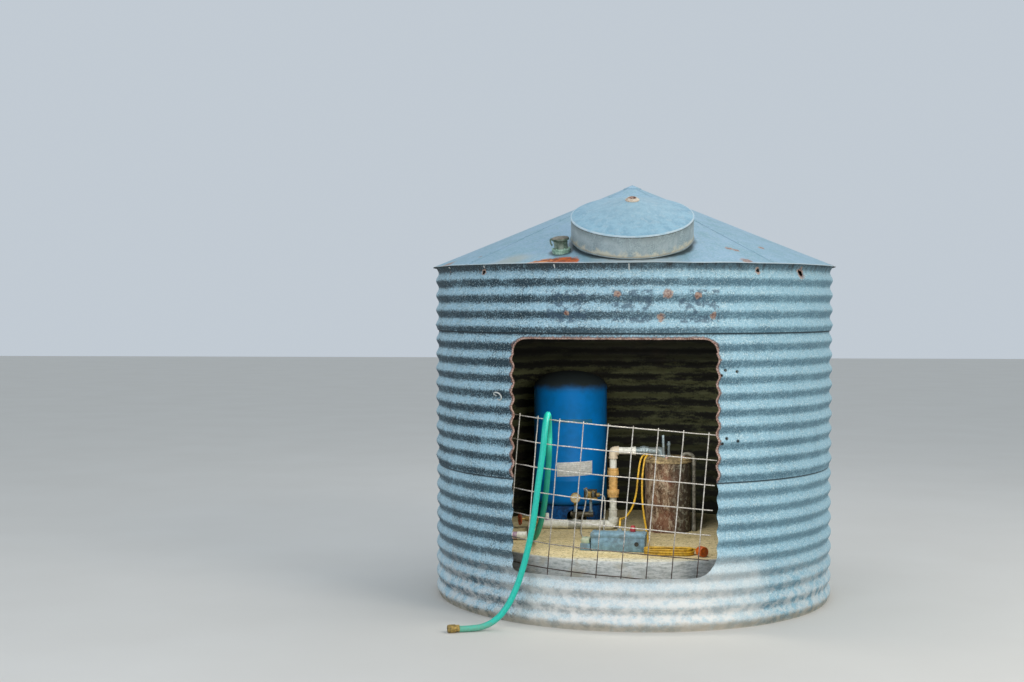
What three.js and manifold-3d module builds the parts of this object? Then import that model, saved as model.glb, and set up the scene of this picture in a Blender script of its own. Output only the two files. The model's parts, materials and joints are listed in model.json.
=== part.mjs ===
// Corrugated steel stock tank, six feet across, turned into the shelter of a well and its pump gear.
// Millimetres, +Z up. The origin is at the centre of the wall's foot, on the ground, and the cut
// doorway faces -Y. Angles round the tank are in degrees from -Y, growing towards +X.

import * as THREE from 'three';
import { mergeVertices } from 'three/addons/utils/BufferGeometryUtils.js';
import Module from 'manifold-3d';

const wasm = await Module();
wasm.setup();

// Driving dimensions of the wall
const WALL_RADIUS = 914.4;
const PITCH = 609.6 / 9;
const AMPLITUDE = 6.35;
const SHEET = 1.2;
const GAP = 0.3;
const BOTTOM_SEAM = 9 * PITCH;
const TOP_SEAM = 18 * PITCH;
const WALL_TOP = 1520;
const GRID_START = -30;
const GRID_STEP = 10;
const GRID_COUNT = 36;

// Driving dimensions of the cut doorway
const DOOR_LEFT = -502;
const DOOR_RIGHT = 353;
const DOOR_SILL = 220;
const DOOR_HEAD = 1205;
const DOOR_TOP_RADIUS = 60;
const DOOR_RIGHT_RADIUS = 100;
const DOOR_LEFT_RADIUS = 25;
const DOOR_STEPS = 6;
const DOOR_DEPTH = 600;
const DOOR_INSIDE = -414.4;

// Driving dimensions of the roof and its fittings
const SLOPE = 22.5;
const EAVE_RADIUS = 936;
const ROOF_SHEET = 1.2;
const PEAK_OPENING = 6;
const PEAK_CAP_RADIUS = 42;
const HATCH_RADIUS = 668;
const HOLE_RADIUS = 232;
const COLLAR_RADIUS = 246;
const COLLAR_SHEET = 2;
const LID_RADIUS = 259;
const LID_SHEET = 1.5;
const SKIRT_FOOT = 3;
const SKIRT_TOP = 101;
const LID_CROWN = 78;
const LID_HOLE = 17;
const LID_RING_RADIUS = 30;
const FILLER_ANGLE = -21.4;
const FILLER_DISTANCE = 812;
const FILLER_LEAN = 13;
const FLANGE_RADIUS = 40;
const FLANGE_TOP = 15;
const NECK_RADIUS = 29;
const NECK_TOP = 48;
const FILLER_CAP_RADIUS = 36;

// Driving dimensions of the slab and the pressure tank
const SLAB_RADIUS = 762;
const SLAB_TOP = 270;
const TANK_X = -310;
const TANK_Y = 480;
const TANK_RADIUS = 184;
const TANK_BOTTOM = 345;
const TANK_SHOULDER = 930;
const TANK_TOP = 1017;
const STAND_RADIUS = 168;
const STAND_SHEET = 3;
const STAND_HOLE_WIDTH = 96;
const STAND_HOLE_HEIGHT = 62;

// Driving dimensions of the well head and its pipes
const PIPE_Y = 80;
const CASING_X = 172;
const CASING_RADIUS = 109.5;
const CASING_WALL = 8;
const CASING_TOP = 597;
const SEAL_THICKNESS = 24;
const SEAL_RADIUS = 113;
const DROP_X = 141;
const LINE_Z = 648;
const UNION_START = 20;
const RISER_X = -88.5;
const SMALL_PIPE = 16.7;
const LARGE_PIPE = 21;
const CHECK_VALVE_TOP = 564;
const CHECK_VALVE_BOTTOM = 425;
const SLAB_PIPE_END = -440;
const STUB_X = -405;
const VENT_X = 176;
const VENT_TOP = 693;
const SENSOR_X = 152;
const SENSOR_TOP = 727;
const THIN_PIPE = 7;
const CONDUIT = 10;
const INLET_X = -272;
const FITTING_Y = 155;
const FITTING_Z = 330;
const GAUGE_FOOT = 372;
const GAUGE_Z = 410;
const GAUGE_RADIUS = 25;
const SWITCH_X = -198;
const SWITCH_FOOT = 405;
const SWITCH_TOP = 462;
const VALVE_X = -470;
const STEM_ANGLE = 20;
const STEM_Z = 318;
const STEM_REACH = 62;
const OFFCUT_Y = -268;
const OFFCUT_LEFT = -640;
const OFFCUT_RIGHT = -478;

// Driving dimensions of the junction box
const BOX_X = -56;
const BOX_Y = -505;
const BOX_TURN = -6;
const BOX_TOP = 78;

// Driving dimensions of the wire panel
const CELL = 104;
const WIRE = 2.85;
const WIRE_SIDES = 4;
const PANEL_TILT = 4.6;
const PANEL_X = 317;
const PANEL_Y = -831.3;
const PANEL_Z = 809;
const PANEL_ROWS = 8;
const PANEL_FLAT_CELLS = 4;
const PANEL_YAWS = [8, 14, 25, 38, 48];
const PANEL_RIGHT_STUB = 42;
const PANEL_LEFT_STUB = 30;
const PANEL_TOP_STUB = 9;
const PANEL_FOOT = 83;

// Driving dimensions of the free hose and cables
const HOSE_RADIUS = 13;
const CABLE_RADIUS = 4.5;
const LEAD_RADIUS = 3;
const HANK_X = 159;
const HANK_Y = -595;
const HANK_LENGTH = 222;
const HANK_WIDTH = 82;
const HANK_HEIGHT = 28;
const CONNECTOR_RADIUS = 22;
const CONNECTOR_LENGTH = 56;
const CONNECTOR_TURN = -60;

const radians = THREE.MathUtils.degToRad;
const slopeDrop = Math.tan(radians(SLOPE));
const RING_STEP = SHEET + GAP;
const wallOutside = WALL_RADIUS + RING_STEP + AMPLITUDE + SHEET / 2;
const ROOF_DEPTH = ROOF_SHEET / Math.cos(radians(SLOPE));
const APEX = WALL_TOP + GAP + ROOF_DEPTH + wallOutside * slopeDrop;

// Finishes
function finish(color, roughness, metalness) {
  return new THREE.MeshStandardMaterial({ color, roughness, metalness });
}
const oldZinc = finish(0x8798a0, 0.5, 0.7);
const paleZinc = finish(0x9fb0b8, 0.45, 0.7);
const concrete = finish(0xb3a88e, 0.95, 0);
const bluePaint = finish(0x0f56a8, 0.4, 0.1);
const darkPaint = finish(0x14304e, 0.6, 0.1);
const rustySteel = finish(0x6b4a3c, 0.9, 0.2);
const whitePlastic = finish(0xd9d6c6, 0.5, 0);
const tanPlastic = finish(0xcf9d55, 0.55, 0);
const brass = finish(0x9c7d45, 0.45, 0.8);
const greyPaint = finish(0x8ea4b0, 0.5, 0.2);
const orangePaint = finish(0xb5532a, 0.7, 0.1);
const dullWire = finish(0x9a8e80, 0.6, 0.6);
const tealRubber = finish(0x23b5a4, 0.45, 0);
const yellowJacket = finish(0xd2a92e, 0.5, 0);
const orangePlastic = finish(0xc4641f, 0.5, 0);
const paleLead = finish(0xcfd3cf, 0.5, 0);

// Solids: closed meshes, joined and cut
function outward(geometry) {
  const position = geometry.attributes.position;
  const index = geometry.index.array;
  const [a, b, c] = [new THREE.Vector3(), new THREE.Vector3(), new THREE.Vector3()];
  let volume = 0;
  for (let i = 0; i < index.length; i += 3) {
    a.fromBufferAttribute(position, index[i]);
    b.fromBufferAttribute(position, index[i + 1]);
    c.fromBufferAttribute(position, index[i + 2]);
    volume += a.dot(b.cross(c));
  }
  if (volume < 0) {
    for (let i = 0; i < index.length; i += 3) {
      [index[i], index[i + 1]] = [index[i + 1], index[i]];
    }
  }
  return geometry;
}

function closed(geometry) {
  const bare = new THREE.BufferGeometry();
  bare.setAttribute('position', geometry.attributes.position.clone());
  if (geometry.index) {
    bare.setIndex(geometry.index.clone());
  }
  const welded = mergeVertices(bare, 1e-3);
  const kept = [];
  const index = welded.index.array;
  for (let i = 0; i < index.length; i += 3) {
    const [p, q, r] = [index[i], index[i + 1], index[i + 2]];
    if (p !== q && q !== r && r !== p) {
      kept.push(p, q, r);
    }
  }
  welded.setIndex(kept);
  return outward(welded);
}

function toSolid(geometry) {
  const body = closed(geometry);
  return new wasm.Manifold(new wasm.Mesh({
    numProp: 3,
    vertProperties: new Float32Array(body.attributes.position.array),
    triVerts: new Uint32Array(body.index.array),
  }));
}

function fromSolid(solid) {
  const mesh = solid.getMesh();
  const geometry = new THREE.BufferGeometry();
  geometry.setAttribute('position', new THREE.BufferAttribute(mesh.vertProperties, 3));
  geometry.setIndex(new THREE.BufferAttribute(mesh.triVerts, 1));
  return geometry;
}

function cut(geometry, ...tools) {
  return fromSolid(tools.reduce((solid, tool) => solid.subtract(toSolid(tool)), toSolid(geometry)));
}

function join(...geometries) {
  const [first, ...others] = geometries;
  return fromSolid(others.reduce((solid, other) => solid.add(toSolid(other)), toSolid(first)));
}

// A solid of revolution about Z: an outline of [radius, z] points, swept between two angles
function swept(outline, from, to, steps) {
  const points = outline.map(([r, z]) => new THREE.Vector2(r, z));
  if (THREE.ShapeUtils.isClockWise(points)) {
    points.reverse();
  }
  const loop = [...points, points[0]];
  const side = new THREE.LatheGeometry(loop, steps, radians(from), radians(to - from));
  const index = [...side.index.array];
  if (to - from < 360) {
    const last = steps * loop.length;
    for (const [a, b, c] of THREE.ShapeUtils.triangulateShape(points, [])) {
      index.push(a, b, c, last + a, last + c, last + b);
    }
  }
  side.setIndex(index);
  return closed(side.rotateX(Math.PI / 2));
}

function turned(outline, steps = 24) {
  return swept(outline, 0, 360, steps);
}

// A straight round bar between two points
function rod(from, to, radius, sides = 12) {
  const start = new THREE.Vector3(...from);
  const along = new THREE.Vector3(...to).sub(start);
  const bar = new THREE.CylinderGeometry(radius, radius, along.length(), sides);
  bar.translate(0, along.length() / 2, 0);
  const up = new THREE.Vector3(0, 1, 0);
  bar.applyQuaternion(new THREE.Quaternion().setFromUnitVectors(up, along.normalize()));
  return closed(bar.translate(...from));
}

function ball(centre, radius, sides = 12) {
  const sphere = new THREE.SphereGeometry(radius, sides, sides / 2);
  return closed(sphere.rotateX(Math.PI / 2).translate(...centre));
}

function block(low, high) {
  const size = high.map((value, i) => value - low[i]);
  const centre = high.map((value, i) => (value + low[i]) / 2);
  return closed(new THREE.BoxGeometry(...size).translate(...centre));
}

// A round tube along a smooth curve through the points
function tube(points, radius, steps, sides = 8) {
  const stops = points.map((point) => new THREE.Vector3(...point));
  const path = new THREE.CatmullRomCurve3(stops, false, 'centripetal');
  const rim = new THREE.Path().absarc(0, 0, radius, 0, 2 * Math.PI).getPoints(sides);
  const section = new THREE.Shape(rim.slice(0, sides));
  return closed(new THREE.ExtrudeGeometry(section, { steps, extrudePath: path }));
}

const shelter = new THREE.Group();

function add(name, geometry, material, group = shelter) {
  geometry.computeVertexNormals();
  const mesh = new THREE.Mesh(geometry, material);
  mesh.name = name;
  group.add(mesh);
}

// Corrugated sheet: valleys at whole pitches, crests half way between them
function corrugated(radius, low, high) {
  const heights = [low];
  for (let k = Math.floor((2 * low) / PITCH) + 1; (k * PITCH) / 2 < high - 1; k += 1) {
    heights.push((k * PITCH) / 2);
  }
  heights.push(high);
  const middle = heights.map((z) => {
    const phase = Math.abs((((z / PITCH) % 1) + 1) % 1 - 0.5);
    return [radius + AMPLITUDE * (1 - 4 * phase), z];
  });
  const outside = middle.map(([r, z]) => [r + SHEET / 2, z]);
  const inside = middle.map(([r, z]) => [r - SHEET / 2, z]).reverse();
  return [...outside, ...inside];
}

const endInset = THREE.MathUtils.radToDeg(GAP / 2 / WALL_RADIUS);

function wallSheet(radius, low, high, firstStep, steps) {
  const from = GRID_START + firstStep * GRID_STEP;
  const to = from + steps * GRID_STEP;
  return swept(corrugated(radius, low, high), from + endInset, to - endInset, steps);
}

function doorway() {
  const outline = new THREE.Shape();
  outline.moveTo(DOOR_LEFT + DOOR_LEFT_RADIUS, DOOR_SILL);
  outline.lineTo(DOOR_RIGHT - DOOR_RIGHT_RADIUS, DOOR_SILL);
  outline.absarc(DOOR_RIGHT - DOOR_RIGHT_RADIUS, DOOR_SILL + DOOR_RIGHT_RADIUS, DOOR_RIGHT_RADIUS,
    -Math.PI / 2, 0);
  outline.absarc(DOOR_RIGHT - DOOR_TOP_RADIUS, DOOR_HEAD - DOOR_TOP_RADIUS, DOOR_TOP_RADIUS,
    0, Math.PI / 2);
  outline.absarc(DOOR_LEFT + DOOR_TOP_RADIUS, DOOR_HEAD - DOOR_TOP_RADIUS, DOOR_TOP_RADIUS,
    Math.PI / 2, Math.PI);
  outline.absarc(DOOR_LEFT + DOOR_LEFT_RADIUS, DOOR_SILL + DOOR_LEFT_RADIUS, DOOR_LEFT_RADIUS,
    Math.PI, 1.5 * Math.PI);
  const opening = new THREE.ExtrudeGeometry(outline,
    { depth: DOOR_DEPTH, bevelEnabled: false, curveSegments: DOOR_STEPS });
  return opening.rotateX(Math.PI / 2).translate(0, DOOR_INSIDE, 0);
}

// Wall: three rings, each lapped half a corrugation outside the ring below
const LAP = PITCH / 2;
const bottomRadius = WALL_RADIUS - RING_STEP;
const topRadius = WALL_RADIUS + RING_STEP;
const doorSteps = 5;
const rings = [
  { name: 'bottom', radius: bottomRadius, low: 0, high: BOTTOM_SEAM + LAP },
  { name: 'middle', radius: WALL_RADIUS, low: BOTTOM_SEAM, high: TOP_SEAM + LAP },
];
const sideSheets = [
  { side: 'front_right', first: doorSteps, steps: 7 },
  { side: 'back_right', first: doorSteps + 7, steps: 8 },
  { side: 'back_left', first: doorSteps + 15, steps: 8 },
  { side: 'front_left', first: doorSteps + 23, steps: 8 },
];
for (const { name, radius, low, high } of rings) {
  for (const { side, first, steps } of sideSheets) {
    const sheet = wallSheet(radius, low, high, first, steps);
    add(`${name}_sheet_${side}`, side.startsWith('front') ? cut(sheet, doorway()) : sheet, oldZinc);
  }
}
add('sill_sheet', cut(wallSheet(bottomRadius, 0, 5 * PITCH, 0, doorSteps), doorway()), oldZinc);
const header = wallSheet(WALL_RADIUS, 17 * PITCH, TOP_SEAM + LAP, 0, doorSteps);
add('header_sheet', cut(header, doorway()), oldZinc);
const quarterSteps = GRID_COUNT / 4;
const quarters = ['front', 'right', 'back', 'left'].map((side, i) => [side, i * quarterSteps - 2]);
for (const [side, first] of quarters) {
  add(`top_sheet_${side}`, wallSheet(topRadius, TOP_SEAM, WALL_TOP, first, quarterSteps), oldZinc);
}

// Roof: a cone in four sheets with a peak cap
function roofHeight(radius) {
  return APEX - radius * slopeDrop;
}

function roofSheet(firstStep) {
  const outline = [
    [PEAK_OPENING, roofHeight(PEAK_OPENING)],
    [PEAK_OPENING, roofHeight(PEAK_OPENING) - ROOF_DEPTH],
    [EAVE_RADIUS, roofHeight(EAVE_RADIUS) - ROOF_DEPTH],
    [EAVE_RADIUS, roofHeight(EAVE_RADIUS)],
  ];
  const from = GRID_START + firstStep * GRID_STEP;
  return swept(outline, from + endInset, from + 90 - endInset, quarterSteps);
}

function onRoof(radius, angle, lean = SLOPE) {
  const turn = new THREE.Group();
  turn.rotation.z = radians(angle);
  const tilt = new THREE.Group();
  tilt.position.set(0, -radius, roofHeight(radius));
  tilt.rotation.x = radians(lean);
  turn.add(tilt);
  shelter.add(turn);
  turn.updateMatrixWorld(true);
  return tilt;
}

// The space under the roof's upper face, grown by the gap, in the frame of a fitting on the slope
function roofUnder(fitting) {
  const rim = 1200;
  const cone = swept([[0, 600], [rim, 600], [rim, roofHeight(rim) + GAP], [0, APEX + GAP]],
    GRID_START, GRID_START + 360, GRID_COUNT);
  return closed(cone.applyMatrix4(fitting.matrixWorld.clone().invert()));
}

const hatch = onRoof(HATCH_RADIUS, 0);
const manhole = rod([0, 0, -200], [0, 0, 200], HOLE_RADIUS, 28).applyMatrix4(hatch.matrixWorld);
for (const [side, first] of quarters) {
  const sheet = roofSheet(first);
  add(`roof_sheet_${side}`, side === 'front' ? cut(sheet, manhole) : sheet, paleZinc);
}
const capRise = PEAK_CAP_RADIUS * slopeDrop;
const capFoot = roofHeight(PEAK_CAP_RADIUS) + GAP;
add('roof_peak_cap', turned([[0, capFoot + capRise], [PEAK_CAP_RADIUS, capFoot],
  [PEAK_CAP_RADIUS, capFoot + 2], [0, capFoot + capRise + 2]], 20), paleZinc);

// Manhole: a collar that follows the roof, and the lift-off lid over it
const collarTop = SKIRT_TOP + (1 - COLLAR_RADIUS / LID_RADIUS) * LID_CROWN - LID_SHEET - GAP;
const collarTube = turned([[COLLAR_RADIUS - COLLAR_SHEET, -60], [COLLAR_RADIUS, -60],
  [COLLAR_RADIUS, collarTop], [COLLAR_RADIUS - COLLAR_SHEET, collarTop]], 32);
add('manhole_collar', cut(collarTube, roofUnder(hatch)), paleZinc, hatch);

function crownHeight(radius) {
  return SKIRT_TOP + LID_CROWN * (1 - radius / LID_RADIUS);
}
const lidInside = LID_RADIUS - LID_SHEET;
add('manhole_lid', turned([
  [LID_HOLE, crownHeight(LID_HOLE)],
  [LID_HOLE, crownHeight(LID_HOLE) - LID_SHEET],
  [lidInside, crownHeight(lidInside) - LID_SHEET],
  [lidInside, SKIRT_FOOT],
  [LID_RADIUS, SKIRT_FOOT],
  [LID_RADIUS, SKIRT_TOP],
], 32), paleZinc, hatch);
const ringFoot = crownHeight(LID_HOLE) + GAP;
const ringFootOut = crownHeight(LID_RING_RADIUS) + GAP;
add('lid_ring', turned([[LID_HOLE, ringFoot], [LID_RING_RADIUS, ringFootOut],
  [LID_RING_RADIUS, ringFootOut + 4], [LID_HOLE + 4, ringFoot + 9], [LID_HOLE, ringFoot + 8]], 20),
rustySteel, hatch);

// Filler neck and its cap, which stand steeper than the front slope
const filler = onRoof(FILLER_DISTANCE, FILLER_ANGLE, FILLER_LEAN);
const neck = turned([[0, -30], [FLANGE_RADIUS, -30], [FLANGE_RADIUS, FLANGE_TOP],
  [NECK_RADIUS, FLANGE_TOP + 3], [NECK_RADIUS, NECK_TOP], [0, NECK_TOP]], 20);
add('filler_neck', cut(neck, roofUnder(filler)), greyPaint, filler);
const capTube = turned([[0, NECK_TOP + GAP], [FILLER_CAP_RADIUS - 3, NECK_TOP + GAP],
  [FILLER_CAP_RADIUS, NECK_TOP + 3], [FILLER_CAP_RADIUS, NECK_TOP + 12],
  [FILLER_CAP_RADIUS - 5, NECK_TOP + 15], [0, NECK_TOP + 18]], 20);
const lugEnd = -FILLER_CAP_RADIUS - 14;
const capLug = block([lugEnd, -7, NECK_TOP + 3], [lugEnd + 22, 7, NECK_TOP + 10]);
const capClaw = block([lugEnd, -7, NECK_TOP - 24], [lugEnd + 7, 7, NECK_TOP + 8]);
add('filler_cap', join(capTube, capLug, capClaw), greyPaint, filler);

// Slab round the well
add('well_slab', closed(new THREE.CylinderGeometry(SLAB_RADIUS, SLAB_RADIUS, SLAB_TOP, 40)
  .rotateX(Math.PI / 2).translate(0, 0, SLAB_TOP / 2)), concrete);
const floor = SLAB_TOP + GAP;

// Pressure tank on its skirt, with a hole in the skirt for the inlet
const skirt = turned([[STAND_RADIUS - STAND_SHEET, floor], [STAND_RADIUS, floor],
  [STAND_RADIUS, TANK_BOTTOM - GAP], [STAND_RADIUS - STAND_SHEET, TANK_BOTTOM - GAP]], 24)
  .translate(TANK_X, TANK_Y, 0);
const skirtHole = join(
  block([INLET_X - STAND_HOLE_WIDTH / 2, TANK_Y - 250, floor - 5],
    [INLET_X + STAND_HOLE_WIDTH / 2, TANK_Y - 60, floor + STAND_HOLE_HEIGHT - 22]),
  block([INLET_X - STAND_HOLE_WIDTH / 2 + 14, TANK_Y - 250, floor],
    [INLET_X + STAND_HOLE_WIDTH / 2 - 14, TANK_Y - 60, floor + STAND_HOLE_HEIGHT]),
);
add('tank_stand', cut(skirt, skirtHole), darkPaint);
add('pressure_tank', turned([[0, TANK_BOTTOM], [TANK_RADIUS - 14, TANK_BOTTOM],
  [TANK_RADIUS, TANK_BOTTOM + 16], [TANK_RADIUS, TANK_SHOULDER], [TANK_RADIUS + 2, TANK_SHOULDER + 6],
  [TANK_RADIUS - 6, TANK_SHOULDER + 34], [TANK_RADIUS - 40, TANK_TOP - 26],
  [TANK_RADIUS - 95, TANK_TOP - 6], [0, TANK_TOP]], 24).translate(TANK_X, TANK_Y, 0), bluePaint);

// Well casing, its seal, and the pipes and conduit at its head
add('well_casing', turned([[CASING_RADIUS - CASING_WALL, floor], [CASING_RADIUS, floor],
  [CASING_RADIUS, CASING_TOP], [CASING_RADIUS - CASING_WALL, CASING_TOP]], 24)
  .translate(CASING_X, PIPE_Y, 0), rustySteel);
const sealFoot = CASING_TOP + GAP;
const sealTop = sealFoot + SEAL_THICKNESS;
add('well_seal', turned([[0, sealFoot], [SEAL_RADIUS, sealFoot], [SEAL_RADIUS, sealTop - 5],
  [SEAL_RADIUS - 6, sealTop], [0, sealTop]], 24).translate(CASING_X, PIPE_Y, 0), tanPlastic);
const wellHead = join(
  rod([DROP_X, PIPE_Y, sealTop + GAP], [DROP_X, PIPE_Y, LINE_Z], SMALL_PIPE),
  ball([DROP_X, PIPE_Y, LINE_Z], 21),
  rod([DROP_X, PIPE_Y, LINE_Z], [UNION_START, PIPE_Y, LINE_Z], SMALL_PIPE),
  rod([DROP_X - 26, PIPE_Y, LINE_Z], [DROP_X - 12, PIPE_Y, LINE_Z], 21),
  rod([80, PIPE_Y, LINE_Z], [40, PIPE_Y, LINE_Z], 24, 8),
);
add('discharge_nipple', wellHead, greyPaint);
const ventY = PIPE_Y + 10;
add('vent_pipe', rod([VENT_X, ventY, sealTop + GAP], [VENT_X, ventY, VENT_TOP], THIN_PIPE, 10), greyPaint);
const sensorY = PIPE_Y - 38;
add('sensor_pipe', rod([SENSOR_X, sensorY, sealTop + GAP], [SENSOR_X - 4, sensorY, SENSOR_TOP],
  THIN_PIPE, 10), greyPaint);
const conduitX = CASING_X + SEAL_RADIUS + CONDUIT + GAP;
const conduitY = PIPE_Y - 20;
const conduitInlet = CASING_X + 70;
const conduitTop = sealTop + 16;
add('cable_conduit', join(
  rod([conduitX, conduitY, floor], [conduitX, conduitY, conduitTop], CONDUIT, 10),
  ball([conduitX, conduitY, conduitTop], CONDUIT + 1, 10),
  rod([conduitX, conduitY, conduitTop], [conduitInlet, conduitY, conduitTop], CONDUIT, 10),
  rod([conduitInlet, conduitY, conduitTop], [conduitInlet, conduitY, sealTop + GAP], CONDUIT + 2, 10),
), greyPaint);

// Plastic line from the well head down to the slab, with the check valve in the riser
const lineStart = UNION_START - GAP;
add('discharge_pipe', join(
  rod([lineStart, PIPE_Y, LINE_Z], [RISER_X, PIPE_Y, LINE_Z], SMALL_PIPE),
  rod([lineStart, PIPE_Y, LINE_Z], [-5, PIPE_Y, LINE_Z], 21),
  rod([RISER_X + 27, PIPE_Y, LINE_Z], [RISER_X, PIPE_Y, LINE_Z], 22),
  ball([RISER_X, PIPE_Y, LINE_Z], 23),
  rod([RISER_X, PIPE_Y, LINE_Z], [RISER_X, PIPE_Y, LINE_Z - 40], 22),
  rod([RISER_X, PIPE_Y, LINE_Z], [RISER_X, PIPE_Y, CHECK_VALVE_TOP + GAP], SMALL_PIPE),
), whitePlastic);
add('check_valve', join(
  rod([RISER_X, PIPE_Y, CHECK_VALVE_BOTTOM], [RISER_X, PIPE_Y, CHECK_VALVE_TOP], 22, 16),
  rod([RISER_X, PIPE_Y, CHECK_VALVE_TOP - 34], [RISER_X, PIPE_Y, CHECK_VALVE_TOP], 28, 8),
  rod([RISER_X, PIPE_Y, CHECK_VALVE_BOTTOM], [RISER_X, PIPE_Y, CHECK_VALVE_BOTTOM + 36], 29, 8),
), tanPlastic);
const slabPipeZ = floor + LARGE_PIPE + 1.5;
add('riser_pipe', join(
  rod([RISER_X, PIPE_Y, slabPipeZ], [RISER_X, PIPE_Y, CHECK_VALVE_BOTTOM - GAP], SMALL_PIPE),
  rod([RISER_X, PIPE_Y, 325], [RISER_X, PIPE_Y, 368], 21),
  rod([RISER_X, PIPE_Y, slabPipeZ], [RISER_X, PIPE_Y, 325], 24),
  ball([RISER_X, PIPE_Y, slabPipeZ], 22.5),
  rod([RISER_X, PIPE_Y, slabPipeZ], [RISER_X - 40, PIPE_Y, slabPipeZ], 22.4),
), whitePlastic);
add('slab_pipe', join(
  rod([RISER_X - 40 - GAP, PIPE_Y, slabPipeZ], [SLAB_PIPE_END, PIPE_Y, slabPipeZ], LARGE_PIPE),
  rod([INLET_X - 38, PIPE_Y, slabPipeZ], [INLET_X + 38, PIPE_Y, slabPipeZ], 22.4),
  rod([INLET_X, PIPE_Y, slabPipeZ], [INLET_X, PIPE_Y + 45, slabPipeZ], 20),
  rod([STUB_X, PIPE_Y, slabPipeZ], [STUB_X, PIPE_Y, slabPipeZ + 52], 9, 10),
), whitePlastic);

// Tank inlet fitting with the gauge and the pressure switch
const inletRun = slabPipeZ + 8;
const tankInlet = TANK_Y - 20;
add('tank_tee', join(
  rod([INLET_X, PIPE_Y + 45 + GAP, slabPipeZ], [INLET_X, FITTING_Y, slabPipeZ], 17),
  rod([INLET_X, FITTING_Y, slabPipeZ], [INLET_X, FITTING_Y, FITTING_Z + 12], 17),
  rod([INLET_X - 24, FITTING_Y, FITTING_Z], [-185, FITTING_Y, FITTING_Z], 14),
  rod([INLET_X, FITTING_Y, inletRun], [INLET_X, tankInlet, inletRun], 14),
  rod([INLET_X, tankInlet, inletRun], [INLET_X, tankInlet, TANK_BOTTOM - GAP], 14),
  rod([INLET_X, FITTING_Y, FITTING_Z], [INLET_X, FITTING_Y, GAUGE_FOOT], THIN_PIPE, 8),
  rod([SWITCH_X, FITTING_Y, FITTING_Z], [SWITCH_X, FITTING_Y, SWITCH_FOOT], THIN_PIPE + 1, 8),
), brass);
add('pressure_gauge', join(
  rod([INLET_X, FITTING_Y, GAUGE_FOOT + GAP], [INLET_X, FITTING_Y, GAUGE_Z - 10], 9, 6),
  rod([INLET_X, FITTING_Y - 16, GAUGE_Z], [INLET_X, FITTING_Y + 12, GAUGE_Z], GAUGE_RADIUS, 20),
), brass);
const switchSide = SWITCH_X + 32;
const switchGland = SWITCH_FOOT + 20;
add('pressure_switch', join(
  block([SWITCH_X - 36, FITTING_Y - 26, SWITCH_FOOT + GAP], [switchSide, FITTING_Y + 30, SWITCH_TOP]),
  rod([switchSide, FITTING_Y, switchGland], [switchSide + 12, FITTING_Y, switchGland], 10, 8),
), darkPaint);

// Hose valve on the left end of the slab pipe, with its hand wheel
const valveZ = slabPipeZ + 10;
const outletEnd = PIPE_Y - 74;

function stemPoint(distance) {
  const angle = radians(STEM_ANGLE);
  return [VALVE_X - distance * Math.cos(angle), PIPE_Y - distance * Math.sin(angle), STEM_Z];
}

add('hose_valve', join(
  rod([SLAB_PIPE_END - GAP, PIPE_Y, slabPipeZ], [VALVE_X - 20, PIPE_Y, slabPipeZ], 20),
  ball([VALVE_X, PIPE_Y, valveZ], 24),
  rod([VALVE_X, PIPE_Y, valveZ], [VALVE_X, outletEnd + 22, valveZ], 15),
  rod([VALVE_X, outletEnd + 22, valveZ], [VALVE_X, outletEnd, valveZ], 18),
  rod([VALVE_X, PIPE_Y, STEM_Z], stemPoint(STEM_REACH), 12, 8),
), brass);
const wheelAxis = new THREE.Group();
wheelAxis.position.set(...stemPoint(STEM_REACH + GAP));
wheelAxis.rotation.z = radians(STEM_ANGLE);
shelter.add(wheelAxis);
const wheelRim = turned([[25, 2], [31, 2], [31, 10], [25, 10]], 20).rotateY(-Math.PI / 2);
const wheelHub = rod([0, 0, 0], [-14, 0, 0], 10, 10);
const spokes = [0, 1].map((k) => {
  const bar = block([-9, -28, -4], [-3, 28, 4]);
  return bar.rotateX((k * Math.PI) / 2);
});
add('valve_wheel', join(wheelHub, wheelRim, ...spokes), orangePaint, wheelAxis);

// Loose length of pipe on the slab
const offcutZ = floor + 20;
add('pipe_offcut', join(
  rod([OFFCUT_LEFT, OFFCUT_Y, offcutZ], [OFFCUT_RIGHT, OFFCUT_Y, offcutZ], SMALL_PIPE),
  rod([OFFCUT_RIGHT - 42, OFFCUT_Y, offcutZ], [OFFCUT_RIGHT, OFFCUT_Y, offcutZ], 20),
), whitePlastic);

// Junction box and the control block beside it
const boxGroup = new THREE.Group();
boxGroup.position.set(BOX_X, BOX_Y, floor);
boxGroup.rotation.z = radians(BOX_TURN);
shelter.add(boxGroup);
add('junction_box', join(
  block([-118, -45, 0], [118, 45, BOX_TOP - 6]),
  block([-121, -48, BOX_TOP - 18], [121, 48, BOX_TOP]),
  rod([0, 35, BOX_TOP - 8], [0, 35, BOX_TOP + 12], 9, 10),
), greyPaint, boxGroup);
add('control_block', block([-166, -38, 0], [-122, 24, 52]), greyPaint, boxGroup);

// Welded wire panel, leaning to the right just inside the doorway, bent about its upright wires
const panelFrame = new THREE.Group();
panelFrame.position.set(PANEL_X, PANEL_Y, PANEL_Z);
panelFrame.rotation.y = radians(PANEL_TILT);
shelter.add(panelFrame);

function panelPlan(cells, out) {
  let [x, y, yaw] = [-Math.min(cells, PANEL_FLAT_CELLS) * CELL, 0, 0];
  let left = cells - PANEL_FLAT_CELLS;
  for (const angle of PANEL_YAWS) {
    if (left > 0) {
      yaw = radians(angle);
      const step = Math.min(left, 1) * CELL;
      x -= step * Math.cos(yaw);
      y += step * Math.sin(yaw);
      left -= 1;
    }
  }
  return [x - out * Math.sin(yaw), y - out * Math.cos(yaw)];
}

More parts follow.
